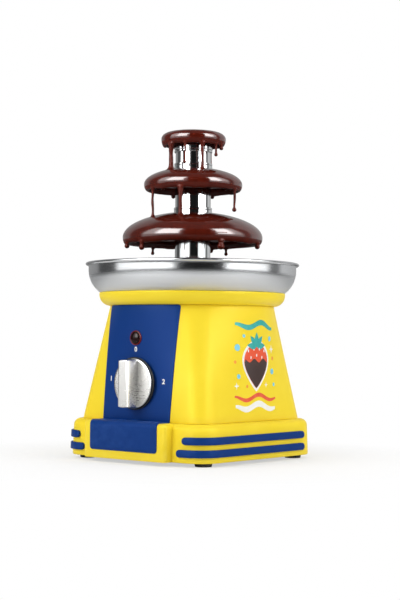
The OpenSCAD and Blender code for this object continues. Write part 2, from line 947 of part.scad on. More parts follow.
module collar_ring() {
    color(YELLOW)
        difference() {
            rotate_extrude()
                difference() {
                    union() {
                        translate([0, body_top])
                            square([collar_r - collar_round, collar_h]);
                        translate([0, body_top + collar_round])
                            square([collar_r, collar_h - collar_round]);
                        translate([collar_r - collar_round, body_top + collar_round])
                            intersection() {
                                circle(collar_round);
                                translate([0, -collar_round])
                                    square(collar_round);
                            }
                    }
                    translate([0, body_top - EPS])
                        square([collar_inner_r, FAR]);
                    translate([0, body_top + collar_flange_t])
                        square([collar_r - collar_wall, FAR]);
                    bowl_section(0, bowl_top);
                }
            collar_screw_places()
                post(screw_r, body_top - EPS, body_top + collar_flange_t + EPS);
        }
}

module bowl() {
    color(STEEL)
        difference() {
            rotate_extrude() {
                difference() {
                    bowl_section(0, bowl_top - rim_roll_r);
                    bowl_section(bowl_wall, bowl_top);
                }
                translate([bowl_r + rim_out - rim_roll_r, bowl_top - rim_roll_r])
                    circle(rim_roll_r);
            }
            post(bush_r, bowl_base - EPS, bowl_floor + EPS);
            peg_places()
                post(peg_r, bowl_base - EPS, bowl_floor + EPS);
        }
}

// Places its children at the three pegs in the bowl
module peg_places() {
    for (a = [30:120:270])
        rotate([0, 0, a])
            translate([peg_at, 0, 0])
                children();
}

module bowl_pegs() {
    color(STEEL)
        peg_places()
            post(peg_r, bowl_base, bowl_floor + tower_foot_t - peg_gap);
}

module shaft_bush() {
    color(BRASS)
        difference() {
            union() {
                post(bush_r, bush_base, bowl_floor);
                post(bush_flange_r, bowl_floor, bush_top);
            }
            post(shaft_r + run_gap, bush_base - EPS, bush_top + EPS);
            post(seal_r, bush_top - seal_t, bush_top + EPS);
        }
}

module bush_nut() {
    color(BRASS)
        difference() {
            translate([0, 0, heater_plate_base - bush_nut_t])
                cylinder(r = bush_nut_r, h = bush_nut_t, $fn = 6);
            post(bush_r, bush_base, heater_plate_base + EPS);
        }
}

module shaft_seal() {
    color(DARK)
        ring(seal_r, shaft_r + run_gap, bush_top - seal_t, bush_top);
}

module heater_ring() {
    color("#a9a49a")
        ring(heater_outer_r, heater_inner_r, body_top, bowl_base);
}

module heater_plate() {
    color(STEEL)
        ring(heater_plate_r, bush_r, heater_plate_base, body_top);
}

module thermostat() {
    color("#7d3b1e")
        translate([thermostat_at, 0, 0])
            post(thermostat_r, heater_plate_base - thermostat_h, heater_plate_base);
}

module thermal_fuse() {
    color("#e8e6df")
        translate([-thermostat_at, 0, heater_plate_base - fuse_r])
            intersection() {
                rotate([90, 0, 0])
                    cylinder(r = fuse_r * 1.1, h = fuse_l, center = true);
                cube([FAR, FAR, 2 * fuse_r], center = true);
            }
}

module support_posts() {
    color(STEEL)
        four(post_at, post_at)
            difference() {
                post(post_r, plate_top, bracket_z);
                post(screw_r, plate_top - EPS, plate_top + post_l / 8);
                post(screw_r, bracket_z - post_l / 8, bracket_z + EPS);
            }
}

module post_screws() {
    color(STEEL)
        four(post_at, post_at)
            screw(foot_h + plate_t / 2, plate_t / 2 + post_l / 8);
}

module motor_bracket() {
    color(STEEL)
        difference() {
            translate([0, 0, bracket_z])
                linear_extrude(bracket_t)
                    round_rect(bracket_half, bracket_half, bracket_half - post_at);
            four(post_at, post_at)
                post(screw_r + screw_gap, bracket_z - EPS, FAR);
            gearbox_screw_places()
                post(screw_r + screw_gap, bracket_z - EPS, FAR);
            post(2 * shaft_r, bracket_z - EPS, FAR);
        }
}

// A screw that points down, with the underside of its head on the motor bracket
module bracket_screw(depth) {
    translate([0, 0, bracket_z + bracket_t])
        mirror([0, 0, 1])
            screw(0, bracket_t + depth);
}

module bracket_screws() {
    color(STEEL)
        four(post_at, post_at)
            bracket_screw(post_l / 8);
}

// Places its children at the two gearbox screws
module gearbox_screw_places() {
    for (s = [-1, 1])
        translate([s * (gearbox_w / 2 - 2 * screw_head_r), 0, 0])
            children();
}

module gearbox_case() {
    color("#5b5f63")
        difference() {
            translate([0, 0, bracket_z - gearbox_h])
                linear_extrude(gearbox_h)
                    round_rect(gearbox_w / 2, gearbox_d / 2, 2 * screw_head_r);
            post(shaft_r + run_gap, bracket_z - shaft_in_gearbox, bracket_z + EPS);
            gearbox_screw_places()
                post(screw_r, bracket_z - gearbox_h / 2, bracket_z + EPS);
        }
}

module gearbox_screws() {
    color(STEEL)
        gearbox_screw_places()
            bracket_screw(gearbox_h / 2);
}

module motor_case() {
    base = bracket_z - gearbox_h - motor_l;
    color("#8c9094") {
        post(motor_r, base, base + motor_l);
        post(motor_r / 3, base - motor_r / 6, base);
    }
}

module cord_gland() {
    color(DARK)
        on_rear()
            difference() {
                union() {
                    post(gland_flange_r, 0, gland_flange_t);
                    post(gland_r, -plinth_wall - gland_nut_t - 2, 0);
                }
                post(gland_bore_r, -FAR, FAR);
            }
}

module gland_nut() {
    color(DARK)
        on_rear()
            difference() {
                translate([0, 0, -plinth_wall - gland_nut_t])
                    cylinder(r = gland_flange_r, h = gland_nut_t, $fn = 6);
                post(gland_r, -FAR, 0);
            }
}

module terminal_block() {
    color("#e9e4d6")
        translate([-terminal_l / 2, terminal_y - terminal_w / 2, plate_top])
            cube([terminal_l, terminal_w, terminal_h]);
}

module chocolate_pool() {
    color(CHOCOLATE)
        difference() {
            rotate_extrude()
                intersection() {
                    bowl_section(bowl_wall, bowl_top);
                    square([FAR, pool_top]);
                }
            post(tower_foot_r + pool_gap, bowl_base, FAR);
        }
}

module drive_shaft() {
    color(CHROME)
        post(shaft_r, bracket_z - shaft_in_gearbox, hex_top);
}

module hex_coupling() {
    color(BRASS)
        difference() {
            translate([0, 0, auger_base])
                cylinder(r = hex_r, h = hex_h, $fn = 6);
            post(shaft_r, auger_base - EPS, FAR);
        }
}

module auger_core() {
    color("#e8e8e4")
        difference() {
            post(core_r, auger_base, tube_top);
            translate([0, 0, auger_base - EPS])
                cylinder(r = hex_r + hex_gap, h = hex_h + EPS + hex_gap, $fn = 6);
        }
}

module auger_flight() {
    flight_l = tube_top - auger_base;
    turn = 360 * flight_l / flight_pitch;
    color("#e8e8e4")
        translate([0, 0, auger_base])
            linear_extrude(flight_l, twist = -turn, slices = ceil(turn / FLIGHT_STEP), $fn = 4)
                translate([core_r - FLIGHT_ROOT, -flight_t])
                    square([flight_r - core_r, 2 * flight_t]);
}

module auger_crown() {
    color(CHOCOLATE)
        translate([0, 0, tube_top])
            domed_disc(flight_r, crown_rim_w, crown_edge_t, crown_h - crown_edge_t);
}

module tower_tube() {
    color(CHROME)
        difference() {
            ring(tube_r, tube_inner_r, bowl_floor, tube_top);
            for (a = [0, 90])
                rotate([0, 0, a])
                    translate([0, 0, bowl_floor + tower_foot_t + slot_h / 2])
                        cube([FAR, slot_w, slot_h], center = true);
        }
}

module tower_foot() {
    color(CHROME)
        difference() {
            ring(tower_foot_r, tube_r, bowl_floor, bowl_floor + tower_foot_t);
            peg_places()
                post(peg_r + peg_gap, bowl_floor - EPS, FAR);
        }
}

module tier_bottom() {
    top = low_tier_z + low_tier_crown;
    color(CHROME)
        tier(low_tier_z, low_tier_r, low_tier_crown, 0, low_tier_z + low_tier_crown / 3, top + hub_show);
}

module tier_middle() {
    top = middle_tier_z + middle_tier_crown;
    color(CHROME)
        tier(middle_tier_z, middle_tier_r, middle_tier_crown, 0,
            middle_tier_z + middle_tier_crown / 3, top + hub_show);
}

module tier_top() {
    color(CHROME)
        tier(top_tier_z, top_tier_r, top_tier_crown, top_tier_flat,
            top_tier_z - top_hub_drop, tube_top);
}

module coat_bottom() {
    color(CHOCOLATE)
        coat(low_tier_z, low_tier_r, low_tier_crown, 0, hub_r);
}

module coat_middle() {
    color(CHOCOLATE)
        coat(middle_tier_z, middle_tier_r, middle_tier_crown, 0, hub_r);
}

module coat_top() {
    color(CHOCOLATE)
        coat(top_tier_z, top_tier_r, top_tier_crown, top_tier_flat, tube_inner_r);
}

module chocolate_streams() {
    color(CHOCOLATE) {
        streams(top_streams, top_tier_z, top_tier_r, middle_tier_z, middle_tier_r, middle_tier_crown);
        streams(middle_streams, middle_tier_z, middle_tier_r, low_tier_z, low_tier_r, low_tier_crown);
        drips(top_drips, top_tier_z, top_tier_r);
        drips(middle_drips, middle_tier_z, middle_tier_r);
        drips(low_drips, low_tier_z, low_tier_r);
    }
}

module foot_chocolate() {
    color(CHOCOLATE)
        ring(tower_foot_r, tube_r, bowl_floor + tower_foot_t, pool_top);
}

module knob_cap() {
    color(STEEL)
        on_front(knob_z)
            difference() {
                union() {
                    post(cap_r, cap_base, cap_face);
                    intersection() {
                        post(cap_r, cap_base, FAR);
                        rotate([90, 0, 0])
                            linear_extrude(2 * cap_r, center = true)
                                polygon([
                                    [-bar_foot_half, cap_base],
                                    [bar_foot_half, cap_base],
                                    [bar_front_half, cap_face + bar_h],
                                    [-bar_front_half, cap_face + bar_h]
                                ]);
                    }
                }
                post(spindle_r, cap_base - EPS, cap_face + spindle_grip);
            }
}

module knob_skirt() {
    color(DARK)
        on_front(knob_z)
            ring(skirt_r, switch_nut_r + 1, knob_base, cap_base);
}

module switch_spindle() {
    color(CHROME)
        on_front(knob_z)
            post(spindle_r, 3 - switch_seat - switch_d, cap_face + spindle_grip);
}

rubber_feet();
base_plate();
base_plate_screws();
plinth();
plinth_front_plate();
plinth_stripes();
body_shell();
shell_screws();
front_panel();
lamp_lens();
lamp_body();
rotary_switch();
switch_nut();
collar_ring();
collar_screws();
bowl();
bowl_pegs();
shaft_bush();
bush_nut();
shaft_seal();
heater_ring();
heater_plate();
thermostat();
thermal_fuse();
support_posts();
post_screws();
motor_bracket();
bracket_screws();
gearbox_case();
gearbox_screws();
motor_case();
cord_gland();
gland_nut();
terminal_block();
chocolate_pool();
drive_shaft();
hex_coupling();
auger_core();
auger_flight();
auger_crown();
tower_tube();
tower_foot();
tier_bottom();
tier_middle();
tier_top();
coat_bottom();
coat_middle();
coat_top();
chocolate_streams();
foot_chocolate();
knob_cap();
knob_skirt();
switch_spindle();
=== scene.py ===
"""A chocolate fountain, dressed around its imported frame: housing, controls, bowl, tower and chocolate."""

import json
import logging
import math
from dataclasses import dataclass
from enum import Enum
from typing import Callable, Sequence

import bmesh
import bpy
from bpy.types import Material, Node, NodeSocket, NodeTree, Object
from mathutils import Matrix, Vector, noise


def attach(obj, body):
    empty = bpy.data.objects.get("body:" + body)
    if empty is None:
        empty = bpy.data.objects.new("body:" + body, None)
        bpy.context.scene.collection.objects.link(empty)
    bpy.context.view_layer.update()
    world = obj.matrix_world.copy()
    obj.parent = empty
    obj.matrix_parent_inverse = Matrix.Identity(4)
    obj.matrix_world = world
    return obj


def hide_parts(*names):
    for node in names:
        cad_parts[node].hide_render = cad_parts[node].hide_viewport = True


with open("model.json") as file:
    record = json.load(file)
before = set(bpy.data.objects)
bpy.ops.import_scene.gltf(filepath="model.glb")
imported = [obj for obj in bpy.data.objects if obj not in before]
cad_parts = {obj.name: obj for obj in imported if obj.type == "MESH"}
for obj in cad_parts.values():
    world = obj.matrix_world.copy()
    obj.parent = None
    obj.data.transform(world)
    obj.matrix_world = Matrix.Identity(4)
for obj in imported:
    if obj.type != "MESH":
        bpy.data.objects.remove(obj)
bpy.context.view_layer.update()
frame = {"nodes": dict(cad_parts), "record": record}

LOG = logging.getLogger("fountain")
MM = 0.001
SHARP = 38.0
SOFT = 60.0
WHITE = (1.0, 1.0, 1.0, 1.0)
Pair = tuple[float, float]
Triple = tuple[float, float, float]
Colour = tuple[float, float, float, float]
Form = bmesh.types.BMesh
Surface = Callable[[float, float, float], Vector]


class Body(Enum):
    """The bodies of the frame that a piece can ride on."""

    BASE = "base"
    AUGER = "auger"
    TOWER = "tower"
    KNOB = "knob"


def lerp(a: float, b: float, t: float) -> float:
    """Goes from a to b as t goes from 0 to 1."""
    return a + (b - a) * t


def linear(code: str) -> Colour:
    """Turns a colour written as #rrggbb, as it should look on a screen, into a colour socket's values."""
    parts = [int(code[i:i + 2], 16) / 255 for i in (1, 3, 5)]
    return tuple(c / 12.92 if c <= 0.04045 else ((c + 0.055) / 1.055) ** 2.4 for c in parts) + (1.0,)


def grey(level: float) -> Colour:
    """Gives a grey as a colour socket's values."""
    return level, level, level, 1.0


# Outlines and meshes

def fillet(corners: Sequence[Triple], steps: int = 6, closed: bool = True) -> list[Pair]:
    """Rounds the corners of an outline.

    Args:
        corners: Each corner's two coordinates and its radius, 0 for a sharp one.
        steps: Chords in each rounded corner.
        closed: Whether the last corner joins the first; otherwise the two ends stay sharp.

    Returns:
        The points of the rounded outline.
    """
    points: list[Pair] = []
    count = len(corners)
    for i, (x, y, radius) in enumerate(corners):
        here = Vector((x, y))
        if radius <= 0 or (not closed and i in (0, count - 1)):
            points.append((x, y))
            continue
        before = (Vector(corners[i - 1][:2]) - here).normalized()
        after = (Vector(corners[(i + 1) % count][:2]) - here).normalized()
        half = before.angle(after) / 2
        run = radius / math.tan(half)
        middle = here + (before + after).normalized() * (radius / math.sin(half))
        start = here + before * run - middle
        sweep = start.angle_signed(here + after * run - middle)
        for k in range(steps + 1):
            arm = start.copy()
            arm.rotate(Matrix.Rotation(-sweep * k / steps, 2))
            points.append(tuple(middle + arm))
    return points


def arc(centre: Pair, radii: Pair, first: float, last: float, steps: int) -> list[Pair]:
    """Points on an ellipse.

    Args:
        centre: The ellipse's middle.
        radii: Its reach along both axes.
        first: The first point's angle in degrees.
        last: The last point's angle in degrees.
        steps: The number of chords.

    Returns:
        The points in order.
    """
    angles = [math.radians(lerp(first, last, k / steps)) for k in range(steps + 1)]
    return [(centre[0] + radii[0] * math.cos(a), centre[1] + radii[1] * math.sin(a)) for a in angles]


def skin(bm: Form, rings: Sequence[Sequence[Vector]], loop: bool = False, caps: bool = False) -> None:
    """Covers closed rings, one after the other, with faces.

    Args:
        bm: The mesh that takes the faces.
        rings: Rings with the same number of points, or a single point for a pole.
        loop: Whether the last ring joins the first.
        caps: Whether the first and the last ring are closed with a face.
    """
    rows = [[bm.verts.new(p) for p in ring] for ring in rings]
    pairs = list(zip(rows, rows[1:])) + ([(rows[-1], rows[0])] if loop else [])
    for low, high in pairs:
        count = max(len(low), len(high))
        for i in range(count):
            j = (i + 1) % count
            if len(low) == 1:
                bm.faces.new((low[0], high[i], high[j]))
            elif len(high) == 1:
                bm.faces.new((low[i], low[j], high[0]))
            else:
                bm.faces.new((low[i], low[j], high[j], high[i]))
    for row in (rows[0], rows[-1]) if caps else ():
        bm.faces.new(row)


def lathe(bm: Form, profile: Sequence[Pair], steps: int, place: Matrix | None = None,
          loop: bool = True) -> Form:
    """Turns a profile round the Z axis.

    Args:
        bm: The mesh that takes the faces.
        profile: Radius and height of each point.
        steps: Points round the axis.
        place: Where the turned form goes, or None for the origin.
        loop: Whether the profile is closed.

    Returns:
        The same mesh.
    """
    place = place or Matrix()
    rings = []
    for r, z in profile:
        around = range(steps) if r > 1e-6 else range(1)
        turns = [2 * math.pi * k / steps for k in around]
        rings.append([place @ Vector((r * math.cos(a), r * math.sin(a), z)) for a in turns])
    skin(bm, rings, loop)
    return bm


def slab(outline: Sequence[Pair], low: float, high: float, edge: float, cells: Pair) -> Form:
    """Makes a flat plate with a rounded upper edge, cut so that it can be wrapped on a curved surface.

    Args:
        outline: The plate's outline.
        low: Height of its underside.
        high: Height of its face.
        edge: Radius of the upper edge, 0 for a sharp one.
        cells: Distance between the cuts along both axes, 0 for none.

    Returns:
        The plate, still flat.
    """
    bm = bmesh.new()
    base = bm.faces.new([bm.verts.new((x, y, low)) for x, y in outline])
    grown = bmesh.ops.extrude_face_region(bm, geom=[base], use_keep_orig=True)["geom"]
    upper = {g for g in grown if isinstance(g, bmesh.types.BMVert)}
    for vert in upper:
        vert.co.z = high
    if edge > 0:
        rim = [e for e in bm.edges if e.verts[0] in upper and e.verts[1] in upper]
        bmesh.ops.bevel(bm, geom=rim, offset=edge, segments=3, profile=0.5, affect="EDGES")
    for axis, cell in enumerate(cells):
        if cell <= 0:
            continue
        places = [p[axis] for p in outline]
        count = math.ceil((max(places) - min(places)) / cell)
        for k in range(1, count):
            co, no = Vector(), Vector()
            co[axis] = lerp(min(places), max(places), k / count)
            no[axis] = 1
            bmesh.ops.bisect_plane(bm, geom=bm.verts[:] + bm.edges[:] + bm.faces[:], plane_co=co, plane_no=no)
    return bm


def bent(along: float, straight: float, radius: float, out: float) -> Pair:
    """A point over a face that is straight, turns through a right angle and is straight again.

    Args:
        along: Distance along the face.
        straight: Length of its first straight run.
        radius: Radius of the turn.
        out: Distance out from the face.

    Returns:
        How far the point is along the first run, and how far behind it.
    """
    bend = radius * math.pi / 2
    if along <= straight:
        return along, -out
    if along <= straight + bend:
        a = (along - straight) / radius
        return straight + (radius + out) * math.sin(a), radius - (radius + out) * math.cos(a)
    return straight + radius + out, radius + along - straight - bend


def wrap(bm: Form, surface: Surface) -> Form:
    """Lays a flat form on a surface.

    Args:
        bm: The flat form.
        surface: Gives the point at a distance across, a distance along and a height over the surface.

    Returns:
        The same form.
    """
    for vert in bm.verts:
        vert.co = surface(*vert.co)
    return bm


def absorb(whole: Form, bm: Form) -> None:
    """Moves a form into another one.

    Args:
        whole: The mesh that takes the form.
        bm: The form, which is freed.
    """
    mesh = bpy.data.meshes.new("part")
    bm.to_mesh(mesh)
    bm.free()
    whole.from_mesh(mesh)
    bpy.data.meshes.remove(mesh)


def piece(name: str, bm: Form, sharp: float = SHARP) -> Object:
    """Makes an object, in metres, of a finished form.

    Args:
        name: The piece's name.
        bm: The form in millimetres.
        sharp: Edges with a wider angle than this, in degrees, stay sharp.

    Returns:
        The object.
    """
    bmesh.ops.recalc_face_normals(bm, faces=bm.faces)
    bmesh.ops.scale(bm, vec=(MM, MM, MM), verts=bm.verts)
    mesh = bpy.data.meshes.new(name)
    bm.to_mesh(mesh)
    bm.free()
    mesh.shade_smooth()
    mesh.set_sharp_from_angle(angle=math.radians(sharp))
    obj = bpy.data.objects.new(name, mesh)
    bpy.context.collection.objects.link(obj)
    return obj


def turned(name: str, profile: Sequence[Pair], steps: int, place: Matrix | None = None,
           loop: bool = True, sharp: float = SHARP) -> Object:
    """Makes an object of one turned profile; the arguments are those of lathe and piece."""
    return piece(name, lathe(bmesh.new(), profile, steps, place, loop), sharp)


def lofted(name: str, rings: Sequence[Sequence[Vector]], loop: bool = False) -> Object:
    """Makes an object of rings, joined into a loop or closed at both ends.

    Args:
        name: The object's name.
        rings: Rings with the same number of points.
        loop: Whether the last ring joins the first.

    Returns:
        The object.
    """
    bm = bmesh.new()
    skin(bm, rings, loop, caps=not loop)
    return piece(name, bm)


def settle(obj: Object, sharp: float = SHARP) -> None:
    """Applies an object's modifiers.

    Args:
        obj: The object.
        sharp: Edges with a wider angle than this, in degrees, stay sharp.
    """
    graph = bpy.context.evaluated_depsgraph_get()
    mesh = bpy.data.meshes.new_from_object(obj.evaluated_get(graph))
    obj.modifiers.clear()
    obj.data = mesh
    mesh.shade_smooth()
    mesh.set_sharp_from_angle(angle=math.radians(sharp))


def joined(obj: Object, other: Object, how: str) -> None:
    """Adds a form to an object, or takes it away, and deletes the form.

    Args:
        obj: The object that is changed.
        other: The form.
        how: The boolean's operation.
    """
    cut = obj.modifiers.new("form", "BOOLEAN")
    cut.operation = how
    cut.solver = "EXACT"
    cut.object = other
    settle(obj)
    bpy.data.objects.remove(other)


# Finishes

class Net:
    """A node tree with short ways to add and join its nodes."""

    def __init__(self, tree: NodeTree) -> None:
        """Takes the tree that the nodes go into."""
        self.tree = tree

    def feed(self, node: Node, inputs: dict[str | int, object]) -> None:
        """Sets a node's sockets.

        Args:
            node: The node.
            inputs: Sockets by name or number, each with a value or the socket that feeds it.
        """
        for key, value in inputs.items():
            if isinstance(value, NodeSocket):
                self.tree.links.new(value, node.inputs[key])
            else:
                node.inputs[key].default_value = value

    def add(self, kind: str, inputs: dict[str | int, object] | None = None, **settings: object) -> Node:
        """Adds a node.

        Args:
            kind: The node's type.
            inputs: What its sockets get.
            settings: The node's own settings.

        Returns:
            The node.
        """
        node = self.tree.nodes.new(kind)
        for key, value in settings.items():
            setattr(node, key, value)
        self.feed(node, inputs or {})
        return node

    def math(self, operation: str, *values: object) -> NodeSocket:
        """Adds a math node and gives its result."""
        return self.add("ShaderNodeMath", dict(enumerate(values)), operation=operation).outputs[0]

    def span(self, value: NodeSocket, low: float, high: float, to_low: object = 0.0,
             to_high: object = 1.0) -> NodeSocket:
        """Maps a value from one range to another, held at both ends.

        Args:
            value: The socket with the value.
            low: The value that gives to_low.
            high: The value that gives to_high.
            to_low: A number or socket.
            to_high: A number or socket.

        Returns:
            The mapped value.
        """
        inputs = {"Value": value, "From Min": low, "From Max": high, "To Min": to_low, "To Max": to_high}
        return self.add("ShaderNodeMapRange", inputs).outputs[0]

    def blend(self, factor: object, first: object, second: object) -> NodeSocket:
        """Mixes two colours; factor is the share of the second."""
        return self.add("ShaderNodeMix", {0: factor, 6: first, 7: second}, data_type="RGBA").outputs[2]

    def noise(self, place: NodeSocket, scale: object, detail: float) -> NodeSocket:
        """Adds a noise texture and gives its value."""
        return self.add("ShaderNodeTexNoise", {"Vector": place, "Scale": scale, "Detail": detail}).outputs[0]

    def place(self) -> NodeSocket:
        """The place on the object, in metres."""
        return self.add("ShaderNodeTexCoord").outputs["Object"]

    def axes(self, vector: NodeSocket) -> Sequence[NodeSocket]:
        """Splits a vector into its three parts."""
        return self.add("ShaderNodeSeparateXYZ", {0: vector}).outputs

    def reach(self, axes: Sequence[NodeSocket]) -> NodeSocket:
        """Distance from the Z axis."""
        return self.math("SQRT", self.math("ADD", *(self.math("MULTIPLY", axes[i], axes[i]) for i in (0, 1))))

    def bump(self, height: NodeSocket, strength: float, distance: float) -> NodeSocket:
        """Adds a bump node and gives its normal."""
        inputs = {"Height": height, "Strength": strength, "Distance": distance}
        return self.add("ShaderNodeBump", inputs).outputs[0]

    def group(self, tree: NodeTree, **inputs: object) -> Sequence[NodeSocket]:
        """Places a node group and gives its outputs."""
        return self.add("ShaderNodeGroup", inputs, node_tree=tree).outputs


class Effect(Net):
    """A node group in the making, for an effect that several finishes share."""

    def __init__(self, name: str, **inputs: float | Colour) -> None:
        """Makes the group and its inputs.

        Args:
            name: The group's name.
            inputs: Each input's default, a number or a colour.
        """
        super().__init__(bpy.data.node_groups.new(name, "ShaderNodeTree"))
        for label, value in inputs.items():
            kind = "NodeSocketColor" if isinstance(value, tuple) else "NodeSocketFloat"
            self.tree.interface.new_socket(label, in_out="INPUT", socket_type=kind).default_value = value
        self.given = {s.name: s for s in self.add("NodeGroupInput").outputs if s.name}

    def gloss(self, value: NodeSocket, low: float, high: float) -> NodeSocket:
        """Roughness that goes through the inputs Gloss and Spread as a value goes from low to high."""
        given = (self.given["Gloss"], self.given["Spread"])
        return self.span(value, low, high, self.math("SUBTRACT", *given), self.math("ADD", *given))

    def tone(self, mask: NodeSocket, second: str) -> NodeSocket:
        """Mixes the input Colour with another of the inputs."""
        return self.blend(mask, self.given["Colour"], self.given[second])

    def done(self, **outputs: NodeSocket) -> NodeTree:
        """Makes the outputs.

        Args:
            outputs: What each output gets.

        Returns:
            The group.
        """
        for label, value in outputs.items():
            kind = "NodeSocketColor" if value.type == "RGBA" else "NodeSocketFloat"
            self.tree.interface.new_socket(label, in_out="OUTPUT", socket_type=kind)
        self.add("NodeGroupOutput", outputs)
        return self.tree


def make_grain() -> NodeTree:
    """Fine grain of a moulded surface, with slow changes of its gloss and tone.

    Returns:
        The group.
    """
    net = Effect("moulding_grain", Scale=1800.0, Gloss=0.35, Spread=0.08, Colour=WHITE, Shade=WHITE)
    place, scale = net.place(), net.given["Scale"]
    slow = net.noise(place, 22.0, 4.0)
    cells = net.add("ShaderNodeTexVoronoi", {"Vector": place, "Scale": scale}).outputs["Distance"]
    height = net.math("ADD", net.math("MULTIPLY", net.noise(place, scale, 3.0), 0.6), cells)
    return net.done(Height=height, Roughness=net.gloss(slow, 0.3, 0.7),
                    Colour=net.tone(net.span(slow, 0.35, 0.75), "Shade"))


def make_rub_and_shine() -> NodeTree:
    """Paler edges: wear from hands and cloths, and a painted highlight along the convex edges.

    Returns:
        The group.
    """
    net = Effect("edge_rub_and_shine", Colour=WHITE, Rubbed=WHITE, Amount=0.4)
    edge = net.span(net.add("ShaderNodeNewGeometry").outputs["Pointiness"], 0.52, 0.6)
    mask = net.math("MULTIPLY", edge, net.span(net.noise(net.place(), 160.0, 5.0), 0.35, 0.7))
    return net.done(Colour=net.tone(net.math("MULTIPLY", mask, net.given["Amount"]), "Rubbed"))


def make_spun() -> NodeTree:
    """Lines that go round the axis, as spinning and turning leave them on sheet steel.

    Returns:
        The group.
    """
    net = Effect("spun_lines", Lines=1400.0, Gloss=0.2, Spread=0.06)
    place = net.place()
    axes = net.axes(place)
    flat = net.add("ShaderNodeCombineXYZ", {0: net.reach(axes), 1: axes[2]}).outputs[0]
    lines = net.noise(flat, net.given["Lines"], 2.0)
    mixed = net.math("ADD", net.math("MULTIPLY", lines, 0.6),
                     net.math("MULTIPLY", net.noise(place, 34.0, 3.0), 0.4))
    return net.done(Height=lines, Roughness=net.gloss(mixed, 0.35, 0.65))


def make_film() -> NodeTree:
    """A thin film of dust on what looks up.

    Returns:
        The group.
    """
    net = Effect("dust_film", Colour=WHITE, Dust=(0.6, 0.58, 0.55, 1.0), Amount=0.1)
    up = net.axes(net.add("ShaderNodeNewGeometry").outputs["Normal"])[2]
    specks = net.span(net.noise(net.place(), 420.0, 6.0), 0.4, 0.75)
    mask = net.math("MULTIPLY", net.span(up, 0.5, 1.0), specks)
    return net.done(Colour=net.tone(net.math("MULTIPLY", mask, net.given["Amount"]), "Dust"))


def make_flow() -> NodeTree:
    """Slow ripples and streaks of something thick that runs down.

    Returns:
        The group.
    """
    net = Effect("slow_flow", Scale=60.0, Gloss=0.12, Spread=0.05, Colour=WHITE, Streak=WHITE)
    long = net.add("ShaderNodeMapping", {"Vector": net.place(), "Scale": (1.0, 1.0, 0.35)}).outputs[0]
    streak = net.noise(long, 210.0, 4.0)
    return net.done(Height=net.noise(long, net.given["Scale"], 1.5),
                    Roughness=net.gloss(streak, 0.3, 0.7),
                    Colour=net.tone(net.span(streak, 0.4, 0.8), "Streak"))


GRAIN = make_grain()
RUB_AND_SHINE = make_rub_and_shine()
SPUN = make_spun()
FILM = make_film()
FLOW = make_flow()


def shader(name: str) -> tuple[Material, Net, Node]:
    """Starts a material.

    Args:
        name: The material's name.

    Returns:
        The material, its net and its Principled shader.
    """
    material = bpy.data.materials.new(name)
    material.use_nodes = True
    return material, Net(material.node_tree), material.node_tree.nodes["Principled BSDF"]


@dataclass(frozen=True)
class Moulded:
    """A moulded plastic, a rubber or an ink."""

    name: str
    colour: str
    shade: str
    # Paler colour for the edges: wear, and a painted highlight along them
    rubbed: str
    gloss: float = 0.34
    spread: float = 0.06
    scale: float = 1500.0
    depth: float = 0.05
    rub_and_shine: float = 0.35
    dust: float = 0.03
    shine: float = 0.5

    def material(self) -> Material:
        """Builds the material.

        Returns:
            The material.
        """
        material, net, bsdf = shader(self.name)
        grain = net.group(GRAIN, Scale=self.scale, Gloss=self.gloss, Spread=self.spread,
                          Colour=linear(self.colour), Shade=linear(self.shade))
        # Edges get the paler colour: wear, and a painted highlight
        rub_and_shine = net.group(RUB_AND_SHINE, Colour=grain["Colour"], Rubbed=linear(self.rubbed), Amount=self.rub_and_shine)
        film = net.group(FILM, Colour=rub_and_shine["Colour"], Amount=self.dust)
        net.feed(bsdf, {"Base Color": film["Colour"], "Roughness": grain["Roughness"],
                        "Normal": net.bump(grain["Height"], self.depth, 0.0002),
                        "Specular IOR Level": self.shine})
        return material


@dataclass(frozen=True)
class Steel:
    """A metal with turned lines; satin holds a second gloss, and the heights in metres where it ends."""

    name: str
    colour: str
    # Paler colour for the edges: wear, and a painted highlight along them
    rubbed: str
    gloss: float = 0.16
    spread: float = 0.05
    lines: float = 1400.0
    depth: float = 0.04
    rub_and_shine: float = 0.3
    satin: Triple | None = None

    def material(self) -> Material:
        """Builds the material.

        Returns:
            The material.
        """
        material, net, bsdf = shader(self.name)
        spun = net.group(SPUN, Lines=self.lines, Gloss=self.gloss, Spread=self.spread)
        # Edges get the paler colour: wear, and a painted highlight
        rub_and_shine = net.group(RUB_AND_SHINE, Colour=linear(self.colour), Rubbed=linear(self.rubbed), Amount=self.rub_and_shine)
        gloss = spun["Roughness"]
        if self.satin:
            gloss = net.span(net.axes(net.place())[2], *self.satin[1:], self.satin[0], gloss)
        net.feed(bsdf, {"Base Color": rub_and_shine["Colour"], "Roughness": gloss, "Metallic": 1.0,
                        "Normal": net.bump(spun["Height"], self.depth, 0.0001)})
        return material


@dataclass(frozen=True)
class Melted:
    """Melted chocolate."""

    name: str
    colour: str
    streak: str
    gloss: float = 0.13
    spread: float = 0.04
    scale: float = 70.0
    depth: float = 0.12
    coat: float = 0.7
    coat_gloss: float = 0.06
    shine: float = 0.45

    def material(self) -> Material:
        """Builds the material.

        Returns:
            The material.
        """
        material, net, bsdf = shader(self.name)
        flow = net.group(FLOW, Scale=self.scale, Gloss=self.gloss, Spread=self.spread,
                         Colour=linear(self.colour), Streak=linear(self.streak))
        net.feed(bsdf, {"Base Color": flow["Colour"], "Roughness": flow["Roughness"],
                        "Normal": net.bump(flow["Height"], self.depth, 0.002),
                        "Specular IOR Level": self.shine, "Coat Weight": self.coat,
                        "Coat Roughness": self.coat_gloss})
        return material


